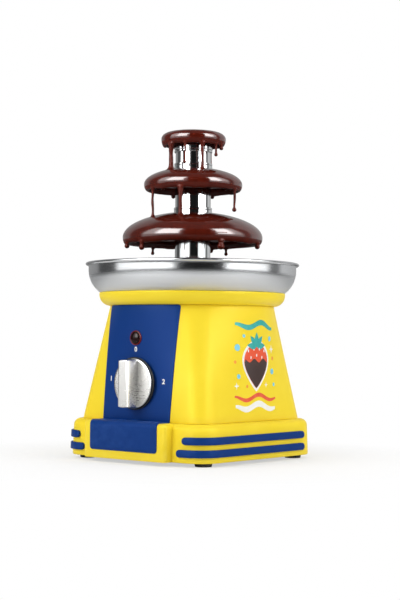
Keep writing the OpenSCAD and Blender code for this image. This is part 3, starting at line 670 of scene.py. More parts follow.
class Ink(Enum):
    """The inks, in the order of the print's materials, each with its colour, shade and edge colour, paler for
    wear and a painted highlight.
    """

    WHITE = ("#f3f3ef", "#e9e9e4", "#ffffff")
    TEAL = ("#1f9e97", "#1c938d", "#55bdb7")
    SKY = ("#6ec4dd", "#63b9d3", "#a3dcec")
    RED = ("#e2522b", "#d64a25", "#f08363")
    DARK = ("#2a1712", "#22120e", "#4a2f27")
    AMBER = ("#f09a22", "#e68f1b", "#f8bd66")

    def finish(self) -> str:
        """The name of the ink's finish."""
        return f"ink_{self.name.lower()}"


FINISHES = {
    "yellow": Moulded("yellow_moulding", "#f6db34", "#f1d42c", "#fbea86", gloss=0.42, shine=0.2),
    "blue": Moulded("blue_moulding", "#113779", "#103473", "#2d5197", gloss=0.4, shine=0.07),
    "black": Moulded("black_moulding", "#161719", "#1d1e20", "#3a3b3d", gloss=0.38, shine=0.2),
    "rubber": Moulded("black_rubber_mix", "#1a1a1b", "#222223", "#39393a", gloss=0.62, scale=900.0,
                      depth=0.15),
    "pale": Moulded("pale_moulding", "#dcd7c8", "#d2ccbc", "#efece2", gloss=0.42),
    "motor": Moulded("motor_paint", "#55585c", "#4b4e52", "#84878a", gloss=0.45, rub_and_shine=0.6),
    "lens": Moulded("lens_dome", "#1c0204", "#120102", "#4a090c", gloss=0.1, spread=0.02, depth=0.01,
                    dust=0.0, shine=0.15),
    "lens_rim": Moulded("lens_edge", "#6a0f12", "#540b0e", "#9c2328", gloss=0.2, spread=0.03, depth=0.01,
                        shine=0.3),
    "silver": Steel("plated_silver", "#cccbc8", "#e2e1de", gloss=0.28, spread=0.02, lines=900.0, depth=0.01),
    "bowl": Steel("spun_steel", "#d2d4d6", "#e8e9ea", gloss=0.17, spread=0.03, lines=2000.0, depth=0.06,
                  satin=(0.46, 0.1675, 0.1725)),
    "tube": Steel("tube_polish", "#d9dbdc", "#f0f0f0", gloss=0.09, spread=0.03),
    "plated": Steel("plated_fixings", "#bfc2c4", "#dfe1e2", gloss=0.28, spread=0.08),
    "brass": Steel("turned_brass", "#b8984a", "#e0c684", gloss=0.3, spread=0.08),
    "aluminium": Steel("cast_aluminium", "#a5a49f", "#c9c8c4", gloss=0.5, spread=0.1, lines=500.0, depth=0.2),
    "chocolate": Melted("melted_chocolate", "#4e150a", "#58180b"),
    "thin_chocolate": Melted("running_chocolate", "#4a1409", "#54170a", gloss=0.42, coat=0.03, shine=0.16),
}
for ink in Ink:
    ink_gloss = 0.4 if ink is Ink.DARK else 0.45
    FINISHES[ink.finish()] = Moulded(ink.finish(), *ink.value, gloss=ink_gloss, depth=0.02)
SLOT_FINISH = {
    "yellow_plastic": "yellow", "blue_plastic": "blue", "black_plastic": "black", "black_rubber": "rubber",
    "bowl_steel": "bowl", "tube_steel": "tube", "plated_steel": "plated", "knob_silver": "silver",
    "red_lens": "lens", "pale_plastic": "pale", "brass": "brass", "aluminium": "aluminium",
    "motor_paint": "motor", "chocolate": "chocolate",
}


class Look:
    """The materials, and the way in which pieces get them."""

    def __init__(self) -> None:
        """Builds the material of every finish."""
        self.palette = {name: finish.material() for name, finish in FINISHES.items()}

    def dress(self, obj: Object, slot: str, *nodes: str, body: Body = Body.BASE,
              finishes: Sequence[str] = ()) -> None:
        """Gives a piece its finish and its body, and hides the nodes that it stands for.

        Args:
            obj: The piece.
            slot: The record's material slot.
            nodes: The nodes that it replaces.
            body: The body that it rides on.
            finishes: Its finishes, in the order of its faces' indices, if they aren't the slot's own.
        """
        for name in finishes or (SLOT_FINISH[slot],):
            obj.data.materials.append(self.palette[name])
        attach(obj, body.value)
        if nodes:
            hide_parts(*nodes)
        LOG.info("%s: %d faces on %s", obj.name, len(obj.data.polygons), body.value)

    def dress_nodes(self) -> None:
        """Gives the nodes that stay as they are the finish of their slot."""
        for row in frame["record"]["subparts"]:
            mesh = frame["nodes"][row["node"]].data
            mesh.materials.clear()
            mesh.materials.append(self.palette[SLOT_FINISH[row["material_slot"]]])
            LOG.info("%s: has the finish of %s", row["node"], row["material_slot"])


@dataclass
class Assembly:
    """A sub-assembly, which dresses its own pieces."""

    look: Look


# Housing

def square_ring(half: float, corner: float, z: float) -> list[Vector]:
    """A square with round corners at one height.

    Args:
        half: Half the square's width.
        corner: Its corner radius.
        z: The height.

    Returns:
        The points, in the same order for every size.
    """
    flat = half - corner
    side, turn = 18, 10
    points = []
    for k in range(4):
        spin = Matrix.Rotation(math.pi / 2 * k, 3, "Z")
        points += [spin @ Vector((half, lerp(-flat, flat, i / side), z)) for i in range(side)]
        points += [spin @ Vector((*p, z)) for p in arc((flat, flat), (corner, corner), 0, 90, turn)[:-1]]
    return points


@dataclass
class Housing(Assembly):
    """Feet, plinth, body, blue panel and plate, stripes and collar, in millimetres."""

    foot_h: float = 3.5
    foot_r: float = 8.0
    foot_at: Pair = (70.0, 66.0)
    plinth_half: float = 84.0
    plinth_corner: float = 22.0
    plinth_round: float = 6.0
    plinth_top: float = 37.0
    plinth_draft: float = 1.2
    wall: float = 3.0
    apron_half: float = 49.5
    apron_front: float = 94.0
    apron_corner: float = 4.0
    apron_round: float = 3.4
    body_half: float = 77.0
    body_corner: float = 18.5
    body_top: float = 142.0
    body_opening: float = 63.0
    flange_t: float = 6.0
    flange_r: float = 68.0
    panel_halves: Pair = (40.3, 41.8)
    panel_t: float = 1.0
    plate_low: float = 11.0
    stripe_h: float = 6.6
    stripe_out: float = 2.3
    stripes: tuple[Pair, ...] = ((11.9, 56.0), (22.9, 62.0))
    stripe_rear: float = 62.0
    collar_r: float = 87.5
    collar_round: float = 10.5
    collar_top: float = 154.25
    collar_seat: Pair = (60.0, 3.5)
    collar_shelf: Pair = (5.0, 151.5)
    sunk: float = 0.4
    halvings: int = 26

    def share(self, z: float) -> float:
        """How far up the body a height is, from 0 to 1."""
        return (z - self.plinth_top) / (self.body_top - self.plinth_top)

    def body_ring(self, z: float, grow: float = 0.0) -> list[Vector]:
        """The body's outline at one height.

        Args:
            z: The height.
            grow: How far the outline is moved out.

        Returns:
            The outline's points.
        """
        half = self.body_half + grow
        low = square_ring(half, self.body_corner + grow, 0)
        return [p * lerp(1, half / p.length, self.share(z)) + Vector((0, 0, z)) for p in low]

    def reach(self, angle: float, z: float) -> float:
        """Distance from the axis to the body's surface.

        Args:
            angle: The direction in radians, from the middle of a face.
            z: The height.

        Returns:
            The distance.
        """
        flat = self.body_half - self.body_corner
        low = self.body_half / math.cos(angle)
        if self.body_half * abs(math.tan(angle)) > flat:
            off = math.pi / 4 - abs(angle)
            diagonal = flat * math.sqrt(2)
            chord = math.sqrt(self.body_corner ** 2 - (diagonal * math.sin(off)) ** 2)
            low = diagonal * math.cos(off) + chord
        return lerp(low, self.body_half, self.share(z))

    def face_point(self, across: float, z: float) -> Vector:
        """The point of the body's front at a distance across and a height, by halving an angle.

        Args:
            across: Distance from the face's middle.
            z: The height.

        Returns:
            The point.
        """
        low, high = -math.pi / 4, math.pi / 4
        for _ in range(self.halvings):
            middle = (low + high) / 2
            if self.reach(middle, z) * math.sin(middle) < across:
                low = middle
            else:
                high = middle
        return Vector((across, -self.reach(low, z) * math.cos(low), z))

    def on_face(self, turn: float) -> Surface:
        """The surface of one face of the body.

        Args:
            turn: How far the face is turned from the front, in degrees.

        Returns:
            A surface with the distance across, the height and the distance out.
        """
        spin = Matrix.Rotation(math.radians(turn), 3, "Z")
        step = 0.5

        def surface(across: float, z: float, out: float) -> Vector:
            """Gives a point over the face.

            Args:
                across: Distance from the face's middle.
                z: The height.
                out: Distance out from the face.

            Returns:
                The point.
            """
            here = self.face_point(across, z)
            right = self.face_point(across + step, z) - here
            up = self.face_point(across, z + step) - here
            return spin @ (here + right.cross(up).normalized() * out)

        return surface

    def on_apron(self, across: float, along: float, out: float) -> Vector:
        """A point over the apron's front and top.

        Args:
            across: Distance from the middle.
            along: Distance from the plate's lower edge.
            out: Distance out from the surface.

        Returns:
            The point.
        """
        straight = self.plinth_top - self.apron_round - self.plate_low
        run, depth = bent(along, straight, self.apron_round, out)
        return Vector((across, depth - self.apron_front, self.plate_low + run))

    def drafted(self, z: float) -> float:
        """How far the plinth's side stands out at a height."""
        return self.plinth_draft * (1 - (z - self.foot_h) / (self.plinth_top - self.foot_h))

    def on_plinth(self, side: int) -> Surface:
        """The plinth's side, from the middle of its front round a corner.

        Args:
            side: 1 for the right-hand side, -1 for the left-hand one.

        Returns:
            A surface with the distance round, the height and the distance out.
        """
        flat = self.plinth_half - self.plinth_corner

        def surface(around: float, z: float, out: float) -> Vector:
            """Gives a point over the side."""
            run, depth = bent(around, flat, self.plinth_corner, out + self.drafted(z))
            return Vector((side * run, depth - self.plinth_half, z))

        return surface

    def build_feet(self) -> None:
        """Makes the four rubber feet, each with a rounded sole, a hollow in it and a peg."""
        r, h, hollow, peg = self.foot_r, self.foot_h, 0.5, (3, 4)
        profile = fillet([(0, hollow, 0), (3, hollow, 0.3), (3.4, 0, 0.3), (r - 0.6, 0, 0.6), (r, h, 0.2),
                          (peg[0], h, 0), (peg[0], h + peg[1], 0.6), (0, h + peg[1], 0)], closed=False)
        bm = bmesh.new()
        for sx in (-1, 1):
            for sy in (-1, 1):
                place = Matrix.Translation((sx * self.foot_at[0], sy * self.foot_at[1], 0))
                lathe(bm, profile, 40, place, loop=False)
        self.look.dress(piece("feet", bm), "black_rubber", "rubber_feet")

    def build_plinth(self) -> None:
        """Makes the plinth with its rounded shoulder and its apron."""
        half, corner, low, top = self.plinth_half, self.plinth_corner, self.foot_h, self.plinth_top
        f, wall = self.plinth_round, self.wall
        rings = [square_ring(half + self.plinth_draft - 1.0, corner - 1.0, low)]
        levels = [(self.drafted(z) - (0.3 if z < low + 0.5 else 0), z)
                  for z in (low + 0.3, low + 1.0, low + 9, low + 18, top - f)]
        levels += [(self.drafted(top - f) * (1 - (z - top + f) / f) + y - f, z)
                   for y, z in arc((0, top - f), (f, f), 15, 90, 5)]
        rings += [square_ring(half + grow, corner + grow, z) for grow, z in levels]
        rings += [square_ring(self.body_opening, self.body_corner, z) for z in (top, top - wall)]
        rings += [square_ring(half - wall, corner - wall, z) for z in (top - wall, low)]
        plinth = lofted("plinth_moulding", rings, loop=True)
        joined(plinth, self._apron("apron_outside", 0.0, -70.0, top, self.apron_round), "UNION")
        joined(plinth, self._apron("apron_inside", -wall, -74.0, top - wall, 0.0), "DIFFERENCE")
        self.look.dress(plinth, "yellow_plastic", "plinth")

    def _apron(self, name: str, grow: float, back: float, top: float, f: float) -> Object:
        """Makes the apron's block.

        Args:
            name: The object's name.
            grow: How far its outline is moved out.
            back: Where its rear face is, along Y.
            top: Height of its top.
            f: Radius of its upper edge, 0 for the form that hollows the apron.

        Returns:
            The block.
        """
        if f:
            low = self.foot_h
            levels = [(0.6, low), (0.15, low + 0.2), (0.0, low + 0.7), (0.0, top - f)]
            levels += [(f - x, z) for x, z in arc((0, top - f), (f, f), 15, 90, 5)]
        else:
            levels = [(0.0, self.foot_h - 2), (0.0, top)]
        rows = []
        for inset, z in levels:
            hx, front, r = (v + grow - inset for v in (self.apron_half, self.apron_front, self.apron_corner))
            corners = [(-hx, -front, r), (hx, -front, r), (hx, back, 0), (-hx, back, 0)]
            rows.append([Vector((x, y, z)) for x, y in fillet(corners)])
        return lofted(name, rows)

    def build_body(self) -> None:
        """Makes the body's shell, square below and round above, with a flange at its top."""
        low, top, flange = self.plinth_top, self.body_top, self.flange_t
        rings = [self.body_ring(low, -0.8), self.body_ring(low + 0.25, -0.25)]
        rings += [self.body_ring(lerp(low + 0.8, top - 0.8, k / 16)) for k in range(17)]
        rings += [self.body_ring(top - 0.25, -0.25), self.body_ring(top, -0.8)]
        ways = [Vector((p.x, p.y, 0)).normalized() * self.flange_r for p in rings[0]]
        rings += [[p + Vector((0, 0, z)) for p in ways] for z in (top, top - flange)]
        rings += [self.body_ring(lerp(top - flange, low + flange, k / 6), -self.wall) for k in range(7)]
        rings += [square_ring(self.body_opening, self.body_corner, z) for z in (low + flange, low)]
        self.look.dress(lofted("body_moulding", rings, loop=True), "yellow_plastic", "body_shell")

    def build_panel(self) -> None:
        """Makes the blue panel on the body's front."""
        low, top, (half, wide) = self.plinth_top + 0.2, self.body_top - 0.1, self.panel_halves
        outline = fillet([(-half, low, 0), (half, low, 0), (wide, top, 2.2), (-wide, top, 2.2)], 5)
        bm = slab(outline, -self.sunk, self.panel_t, 0.55, (4.1, 8.0))
        self.look.dress(piece("panel", wrap(bm, self.on_face(0))), "blue_plastic", "front_panel")

    def build_plate(self) -> None:
        """Makes the blue plate on the apron, over its upper edge."""
        f, half, corner = self.apron_round, self.panel_halves[0], 3.2
        back = self.apron_front - f - self.body_half - self.panel_t
        length = self.plinth_top - f - self.plate_low + f * math.pi / 2 + back + 0.4
        outline = fillet([(-half, 0, corner), (half, 0, corner), (half, length, 0), (-half, length, 0)])
        bm = slab(outline, -self.sunk, self.panel_t, 0.5, (0, 0.9))
        self.look.dress(piece("apron_plate", wrap(bm, self.on_apron)), "blue_plastic", "plinth_front_plate")

    def build_stripes(self) -> None:
        """Makes the two raised stripes on each side, with round ends."""
        flat = self.plinth_half - self.plinth_corner
        end = flat + self.plinth_corner * math.pi / 2 + flat + self.stripe_rear
        half = self.stripe_h / 2
        r = half - 0.05
        whole = bmesh.new()
        for middle, start in self.stripes:
            low, high = middle - half, middle + half
            outline = fillet([(start, low, r), (end, low, r), (end, high, r), (start, high, r)], 8)
            for side in (-1, 1):
                bm = slab(outline, -self.sunk, self.stripe_out, 0.7, (2.2, 0))
                absorb(whole, wrap(bm, self.on_plinth(side)))
        self.look.dress(piece("stripes", whole), "blue_plastic", "plinth_stripes")

    def build_collar(self) -> None:
        """Makes the rounded ring that carries the bowl."""
        r, f, low, (inner, seat) = self.collar_r, self.collar_round, self.body_top, self.collar_seat
        top, shelf = self.collar_top, r - self.collar_shelf[0]
        profile = [(inner, low)] + arc((r - f, low + f), (f, f), -90, 0, 16)
        profile += [(r, top - 0.55), (r - 0.15, top - 0.05), (r - 0.6, top), (shelf, self.collar_shelf[1]),
                    (shelf, low + seat), (inner, low + seat)]
        self.look.dress(turned("collar", profile, 192), "yellow_plastic", "collar_ring")

    def build(self) -> None:
        """Builds every piece."""
        for make in (self.build_feet, self.build_plinth, self.build_body, self.build_collar, self.build_panel,
                     self.build_plate, self.build_stripes):
            make()


# Controls

@dataclass
class Controls(Assembly):
    """Knob, pilot lamp and the numbers on the panel, in millimetres."""

    front: float = 77.0
    panel_t: float = 1.0
    knob_z: float = 71.0
    skirt_r: float = 23.8
    skirt: Pair = (1.8, 3.6)
    skirt_bore: float = 8.0
    cap_r: float = 22.4
    cap_face: float = 6.0
    dome: float = 0.45
    bar_top: float = 18.4
    bar_halves: Pair = (6.8, 5.5)
    lamp_z: float = 112.0
    lamp_r: float = 6.7
    lamp_rim: float = 1.1
    lamp_dome: float = 2.7
    lamp_seat: float = 0.6
    number_size: float = 6.02
    number_bold: float = 0.16
    number_t: float = 0.12
    numbers: tuple[tuple[str, float, float], ...] = (("0", 0.0, 101.5), ("1", -32.0, 74.5), ("2", 31.5, 73.0))

    def facing(self, z: float) -> Matrix:
        """Places a form on the body's front at a height, with its Z pointing out."""
        return Matrix.Translation((0, -self.front, z)) @ Matrix.Rotation(math.pi / 2, 4, "X")

    def _bar_ring(self, half: float, reach: float, out: float) -> list[Vector]:
        """The grip bar's outline at one level.

        Args:
            half: Half the bar's width.
            reach: Radius of its two ends.
            out: Distance from the body's face.

        Returns:
            The outline's points.
        """
        side = math.degrees(math.asin(half / reach))
        ring = [p for end in (90, 270) for p in arc((0, 0), (reach, reach), end - side, end + side, 12)]
        return [self.facing(self.knob_z) @ Vector((x, y, out)) for x, y in ring]

    def _domed(self, t: float) -> Pair:
        """A point of the cap's face, t from its edge at 0 to its middle at 1."""
        rise = self.dome * (1 - (1 - t) ** 2.2) + 0.4 * min(t / 0.03, 1)
        return lerp(self.cap_r, 0, t), self.cap_face - 0.8 + rise

    def build_cap(self) -> None:
        """Makes the knob's plated cap: a domed disc with a tapered grip bar across it."""
        r, face, base, top = self.cap_r, self.cap_face, self.skirt[1], self.bar_top
        low, high = self.bar_halves
        side = fillet([(0, base, 0), (r - 0.6, base, 0.3), (r, base + 0.5, 0.3), (r, face, 0)], closed=False)
        shares = (0.0, 0.012, 0.03, 0.08, 0.16, 0.26, 0.38, 0.52, 0.7, 0.85, 1.0)
        profile = side[:-1] + [self._domed(t) for t in shares]
        cap = turned("knob_grip", profile, 112, self.facing(self.knob_z), loop=False)
        levels = [(low, 1.2, base + 0.4), (low, 0.6, face - 0.6)]
        levels += [(lerp(low, high, t), 0.6 + 0.5 * t, lerp(face, top, t)) for t in (0.3, 0.6, 0.88)]
        levels += [(high - 0.25, 1.35, top - 0.3), (high - 0.75, 1.9, top), (high - 1.6, 2.9, top + 0.02)]
        bar = lofted("cap_bar", [self._bar_ring(half, r - short, out) for half, short, out in levels])
        joined(cap, bar, "UNION")
        self.look.dress(cap, "knob_silver", "knob_cap", body=Body.KNOB)

    def build_skirt(self) -> None:
        """Makes the black skirt behind the cap."""
        r, bore, (low, high) = self.skirt_r, self.skirt_bore, self.skirt
        profile = fillet([(bore, low, 0.2), (r - 0.3, low, 0.3), (r, low + 0.5, 0.2), (r, high, 0.7),
                          (bore, high, 0.2)])
        obj = turned("knob_disc", profile, 112, self.facing(self.knob_z))
        self.look.dress(obj, "black_plastic", "knob_skirt", body=Body.KNOB)

    def build_lamp(self) -> None:
        """Makes the pilot lamp's lens: a rim and a dome, with the rim as its second material."""
        r, seat, glass = self.lamp_r, self.lamp_seat, self.lamp_r - self.lamp_rim
        place = self.facing(self.lamp_z)
        profile = fillet([(0, seat, 0), (r, seat, 0), (r, seat + 1.5, 0.5), (r - 0.8, seat + 1.6, 0.3),
                          (glass, seat + 1.1, 0)], closed=False)
        profile += arc((0, seat + 1.1), (glass, self.lamp_dome), 0, 90, 10)[1:-1]
        profile.append((0.0, seat + 1.1 + self.lamp_dome))
        bm = lathe(bmesh.new(), profile, 64, place, loop=False)
        for face in bm.faces:
            middle = place.inverted() @ face.calc_center_median()
            face.material_index = int(math.hypot(middle.x, middle.y) > glass)
        self.look.dress(piece("pilot_lamp", bm), "red_lens", "lamp_lens", finishes=("lens", "lens_rim"))

    def build_numbers(self, panel: Surface) -> None:
        """Makes the numbers round the knob as one thin piece.

        Args:
            panel: The body's front surface.
        """
        whole = bmesh.new()
        for text, across, z in self.numbers:
            curve = bpy.data.curves.new("number", "FONT")
            curve.body = text
            curve.align_x = curve.align_y = "CENTER"
            curve.size = self.number_size
            curve.offset = self.number_bold
            curve.extrude = self.number_t
            holder = bpy.data.objects.new("number", curve)
            bpy.context.collection.objects.link(holder)
            bpy.context.view_layer.update()
            graph = bpy.context.evaluated_depsgraph_get()
            mesh = bpy.data.meshes.new_from_object(holder.evaluated_get(graph))
            bm = bmesh.new()
            bm.from_mesh(mesh)
            bmesh.ops.translate(bm, vec=(across, z, self.panel_t), verts=bm.verts)
            bmesh.ops.remove_doubles(bm, verts=bm.verts, dist=1e-4)
            absorb(whole, wrap(bm, panel))
            bpy.data.meshes.remove(mesh)
            bpy.data.objects.remove(holder)
            bpy.data.curves.remove(curve)
        self.look.dress(piece("panel_numbers", whole), "blue_plastic", finishes=[Ink.WHITE.finish()])

    def build(self, panel: Surface) -> None:
        """Builds every piece.

        Args:
            panel: The body's front surface.
        """
        self.build_cap()
        self.build_skirt()
        self.build_lamp()
        self.build_numbers(panel)


# Bowl and tower

@dataclass
class Bowl(Assembly):
    """The spun bowl and the chocolate in it, in millimetres."""

    base: float = 149.5
    wall: float = 1.2
    radius: float = 97.8
    curve: float = 26.0
    floor_r: float = 40.0
    top: float = 182.5
    lip: Pair = (2.2, 1.5)
    hole: float = 7.0
    pool_top: float = 164.7
    pool_inner: float = 24.15
    pool_edge: Pair = (0.9, 1.6)
    pool_rings: Pair = (0.22, 3.1)
    pool_lumps: Pair = (0.35, 17.0)
    gap: float = 0.05
    steps: int = 22

    def side(self, inset: float, low: float = -90.0) -> list[Pair]:
        """The curve from the floor to the wall, moved in by inset."""
        r = self.curve - inset
        return arc((self.radius - self.curve, self.base + self.curve), (r, r), low, 0, self.steps)

    def build_bowl(self) -> None:
        """Makes the bowl with its flat rolled lip."""
        r, top, inner, (across, thick) = self.radius, self.top, self.base + self.wall, self.lip
        profile = [(self.hole, self.base), (self.floor_r, self.base)] + self.side(0.0)
        profile += [(r, top - 4.6), (r + 0.15, top - 3.3)]
        profile += arc((r + 0.6, top - thick), (across, thick), -100, 190, 20) + [(r - self.wall, top - 2.6)]
        profile += self.side(self.wall)[::-1] + [(self.floor_r, inner), (self.hole, inner)]
        self.look.dress(turned("spun_bowl", profile, 208, sharp=SOFT), "bowl_steel", "bowl")

    def inner_reach(self, z: float) -> float:
        """Radius of the bowl's inside at a height on its curve."""
        drop = self.base + self.curve - z
        return self.radius - self.curve + math.sqrt((self.curve - self.wall) ** 2 - drop ** 2)

    def build_pool(self) -> None:
        """Makes the chocolate in the bowl, with a curved edge at the wall and slow rings on it."""
        edge, inner, count = self.inner_reach(self.pool_top) - self.gap, self.pool_inner, 28
        (climb, fade), (ripple, length), (lump, size) = self.pool_edge, self.pool_rings, self.pool_lumps
        profile = []
        for k in range(count + 1):
            r = lerp(inner, edge, k / count)
            lift = climb * math.exp(-(edge - r) / fade) + ripple * math.sin(r / length) * (1 - k / count)
            profile.append((r, self.pool_top - 0.5 + lift))
        rise = self.pool_top - 0.8 - self.base - self.curve
        turn = math.degrees(math.asin(rise / (self.curve - self.wall)))
        r, z = self.side(self.wall, turn)[0]
        under = self.curve - self.wall - self.gap
        profile += [(r - self.gap, z)]
        profile += arc((self.radius - self.curve, self.base + self.curve), (under, under), turn, -90, 12)[1:]
        bm = lathe(bmesh.new(), profile + [(inner, self.base + self.wall + self.gap)], 176)
        for vert in bm.verts:
            if vert.co.z > self.pool_top - 1.2 and inner + 2 < vert.co.xy.length < edge - 3:
                vert.co.z += lump * noise.noise(vert.co / size)
        self.look.dress(piece("pool", bm, SOFT), "chocolate", "chocolate_pool")

    def build(self) -> None:
        """Builds both pieces."""
        self.build_bowl()
        self.build_pool()


@dataclass(frozen=True)
class Tier:
    """One tier of the tower, in millimetres."""

    name: str
    z: float
    radius: float
    crown: float
    flat: float
    hub: Pair
    groove: float
    hole: float

    def line(self, inset: float, steps: int = 26) -> list[Pair]:
        """The crown's outline from the rim to the middle, moved in by inset."""
        reach = self.radius - inset - self.flat
        return arc((self.flat, self.z), (reach, self.crown - inset), 0, 90, steps)

    def height(self, r: float, inset: float = 0.0) -> float:
        """Height of the crown at a radius.

        Args:
            r: The radius.
            inset: How far the crown is moved in.

        Returns:
            The height.
        """
        reach = self.radius - inset - self.flat
        share = min(max((r - self.flat) / reach, 0.0), 1.0)
        return self.z + (self.crown - inset) * math.sqrt(1 - share * share)


LOW = Tier("bottom", 206.5, 66.0, 24.5, 0.0, (214.7, 235.0), 232.8, 18.08)
MIDDLE = Tier("middle", 257.0, 46.5, 16.0, 0.0, (262.3, 277.0), 274.8, 18.08)
TOP = Tier("top", 300.0, 30.6, 6.6, 21.0, (287.3, 305.3), 289.5, 14.9)
TIERS = (LOW, MIDDLE, TOP)


@dataclass
class Tower(Assembly):
    """Tube and tiers, in millimetres."""

    tube_r: float = 16.8
    bore_r: float = 15.4
    low: float = 150.7
    top: float = 305.3
    hub_r: float = 18.0
    coat: float = 2.05
    sheet: float = 1.6
    groove: Pair = (0.35, 0.45)

    def build_tube(self) -> None:
        """Makes the tube."""
        profile = [(self.bore_r, self.low, 0.3), (self.tube_r, self.low, 0.3), (self.tube_r, self.top, 0.4),
                   (self.bore_r, self.top, 0.4)]
        obj = turned("tower_pipe", fillet(profile, 3), 128)
        self.look.dress(obj, "tube_steel", "tower_tube", body=Body.TOWER)

    def build_tier(self, tier: Tier) -> None:
        """Makes a tier's sheet and its hub with rounded ends and a groove.

        Args:
            tier: The tier's sizes.
        """
        hub, tube, (low, high), (deep, wide) = self.hub_r, self.tube_r + 0.05, tier.hub, self.groove
        over, under = ([p for p in tier.line(inset) if p[0] > hub - 0.3]
                       for inset in (self.coat, self.coat + self.sheet))
        bm = lathe(bmesh.new(), over + under[::-1], 144)
        notch = ((0, -wide), (deep, 0), (0, wide))
        marks = [(hub - across, tier.groove + along, 0.1) for across, along in notch]
        profile = [(tube, low, 0.2), (hub, low, 0.5), *marks, (hub, high, 0.5), (tube, high, 0.2)]
        lathe(bm, fillet(profile, 4), 128)
        obj = piece(f"tier_{tier.name}_sheet", bm)
        self.look.dress(obj, "tube_steel", f"tier_{tier.name}", body=Body.TOWER)

    def build(self) -> None:
        """Builds every piece."""
        self.build_tube()
        for tier in TIERS:
            self.build_tier(tier)


# Chocolate

@dataclass(frozen=True)
class Drip:
    """A stream or drip: its direction in degrees, its radius, and its length if it ends in the air."""

    direction: float
    radius: float
    length: float = 0.0


FALLS = (
    (TOP, MIDDLE, (Drip(-97, 2.6), Drip(-33, 2.0), Drip(96, 2.3), Drip(-66, 1.25, 20), Drip(-1, 1.25, 12),
                   Drip(19, 1.5, 5))),
    (MIDDLE, LOW, (Drip(-65, 2.2), Drip(-108, 1.5), Drip(140, 2.0), Drip(12, 1.5, 21), Drip(105, 1.5, 3),
                   Drip(156, 1.5, 3))),
    (LOW, None, (Drip(-124, 1.9, 5), Drip(-97, 1.9, 8), Drip(-26, 2.3, 8), Drip(22, 1.9, 5), Drip(99, 1.3, 7),
                 Drip(114, 1.9, 4), Drip(168, 1.3, 7))),
)


